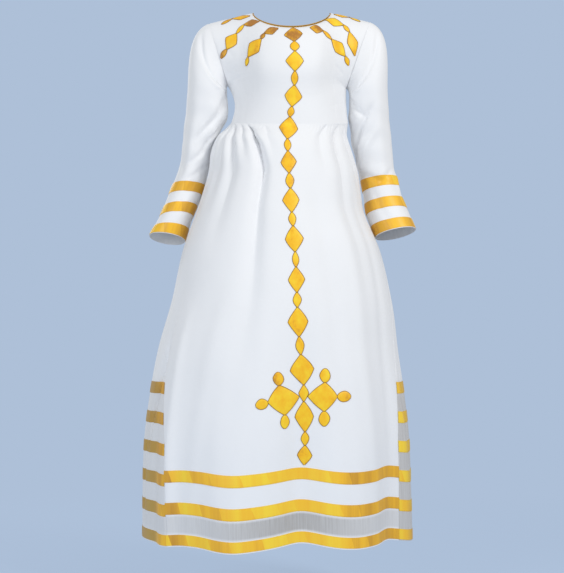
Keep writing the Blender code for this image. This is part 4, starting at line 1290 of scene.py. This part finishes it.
FLOOR_Z, FLOOR_RADIUS = -1.46, 2.6
bpy.ops.mesh.primitive_circle_add(vertices=96, radius=FLOOR_RADIUS, fill_type="NGON", location=(0, 0, FLOOR_Z))
floor = bpy.context.object
floor.name = "pale_floor"
paper, tree, shader = new_finish(
    "pale_blue_floor", (0.15, 0.19, 0.25), 0.95, Specular_IOR_Level=0.0, Emission_Strength=0.72
)
shader.inputs["Emission Color"].default_value = (*PALE_BLUE, 1)
spot = node(tree, "ShaderNodeTexCoord", out=3)
from_middle = node(tree, "ShaderNodeVectorMath", {"operation": "LENGTH"}, (spot,), out=1)
fade = (from_middle * (1 / FLOOR_RADIUS) - 0.25) * (1 / 0.65)
clear = node(tree, "ShaderNodeBsdfTransparent")
mixed = node(tree, "ShaderNodeMixShader", {}, {0: fade.larger(0).smaller(1), 2: clear})
tree.links.new(shader.outputs[0], mixed.socket.node.inputs[1])
tree.links.new(mixed.socket, tree.nodes["Material Output"].inputs["Surface"])
floor.data.materials.append(paper)

world = bpy.data.worlds.new("studio")
bpy.context.scene.world = world
world.use_nodes = True
tree = world.node_tree
tree.nodes["Background"].inputs["Color"].default_value = (0.95, 0.97, 1.0, 1)
tree.nodes["Background"].inputs["Strength"].default_value = 0.47
seen = node(tree, "ShaderNodeBackground", {}, {"Color": (*PALE_BLUE, 1), "Strength": 1.0})
is_seen = node(tree, "ShaderNodeLightPath")
both = node(tree, "ShaderNodeMixShader", {}, {0: is_seen, 2: seen})
tree.links.new(tree.nodes["Background"].outputs[0], both.socket.node.inputs[1])
tree.links.new(both.socket, tree.nodes["World Output"].inputs["Surface"])


def lamp(name, place, aim, size, power, colour):
    bpy.ops.object.light_add(type="AREA", location=place)
    light = bpy.context.object
    light.name = name
    light.data.size = size
    light.data.energy = power
    light.data.color = colour
    light.rotation_euler = (Vector(aim) - Vector(place)).to_track_quat("-Z", "Y").to_euler()


MIDDLE = (0, 0, -0.65)
lamp("key_light", (2.4, -2.7, 1.4), MIDDLE, 1.1, 76, (1.0, 0.985, 0.96))
lamp("fill_light", (-2.4, -2.9, 0.2), MIDDLE, 2.0, 46, (0.92, 0.96, 1.0))
lamp("back_light", (-1.8, 2.8, 1.2), MIDDLE, 1.6, 34, (1.0, 0.99, 0.97))

# %% [markdown]
# ## What each piece was cut to
#
# Every sheet is listed with the rectangle it was cut from, in metres, and the share of it that
# the piece takes up, because none of the panels is a rectangle; the loop prints that area beside
# the made piece's own. The width and length are the widest row and the longest column, measured
# along the made cloth. A gathered panel is cut wide at the top as well and drawn in by its thread,
# so its share is a little more than what the seam shows. The skirt's front carries the long chain,
# and the bodice's front the short chains and the piping.

# %%
BODICE = ("bodice_front_cloth", "bodice_back_cloth")
SLEEVES = ("sleeve_left_cloth", "sleeve_right_cloth")
CUTS = {
    # width, length, share of the rectangle, how it is held, what holds it
    "bodice_front_cloth": (0.43, 0.33, 0.81, "hung", SLEEVES),
    "bodice_back_cloth": (0.41, 0.31, 0.85, "hung", SLEEVES),
    "sleeve_left_cloth": (0.42, 0.57, 0.62, "hung", BODICE),
    "sleeve_right_cloth": (0.44, 0.55, 0.62, "hung", BODICE),
    "skirt_front_cloth": (0.69, 1.08, 0.90, "gathered", BODICE),
    "skirt_back_cloth": (0.60, 1.07, 0.93, "gathered", BODICE),
    "skirt_side_left_cloth": (0.38, 1.09, 0.49, "gathered", BODICE),
    "skirt_side_right_cloth": (0.30, 1.06, 0.53, "gathered", BODICE),
}
SEWN_ON = {
    "bodice_front_cloth": [f"neck_chain_{name}_{part}" for name in NECK_CHAINS for part in ("satin", "cord")],
    "skirt_front_cloth": ["chain_front_satin", "chain_front_cord"],
}
SEWN_ON["bodice_front_cloth"].append("neck_piping")
for name, (width, length, share, held, rests_on) in CUTS.items():
    cut(width, length, share)
    area = sum(face.area for face in made[name].data.polygons) / 2
    print(f"{name}: cut {width:.2f} x {length:.2f} m, {width * length * share:.3f} m2, made {area:.3f} m2")
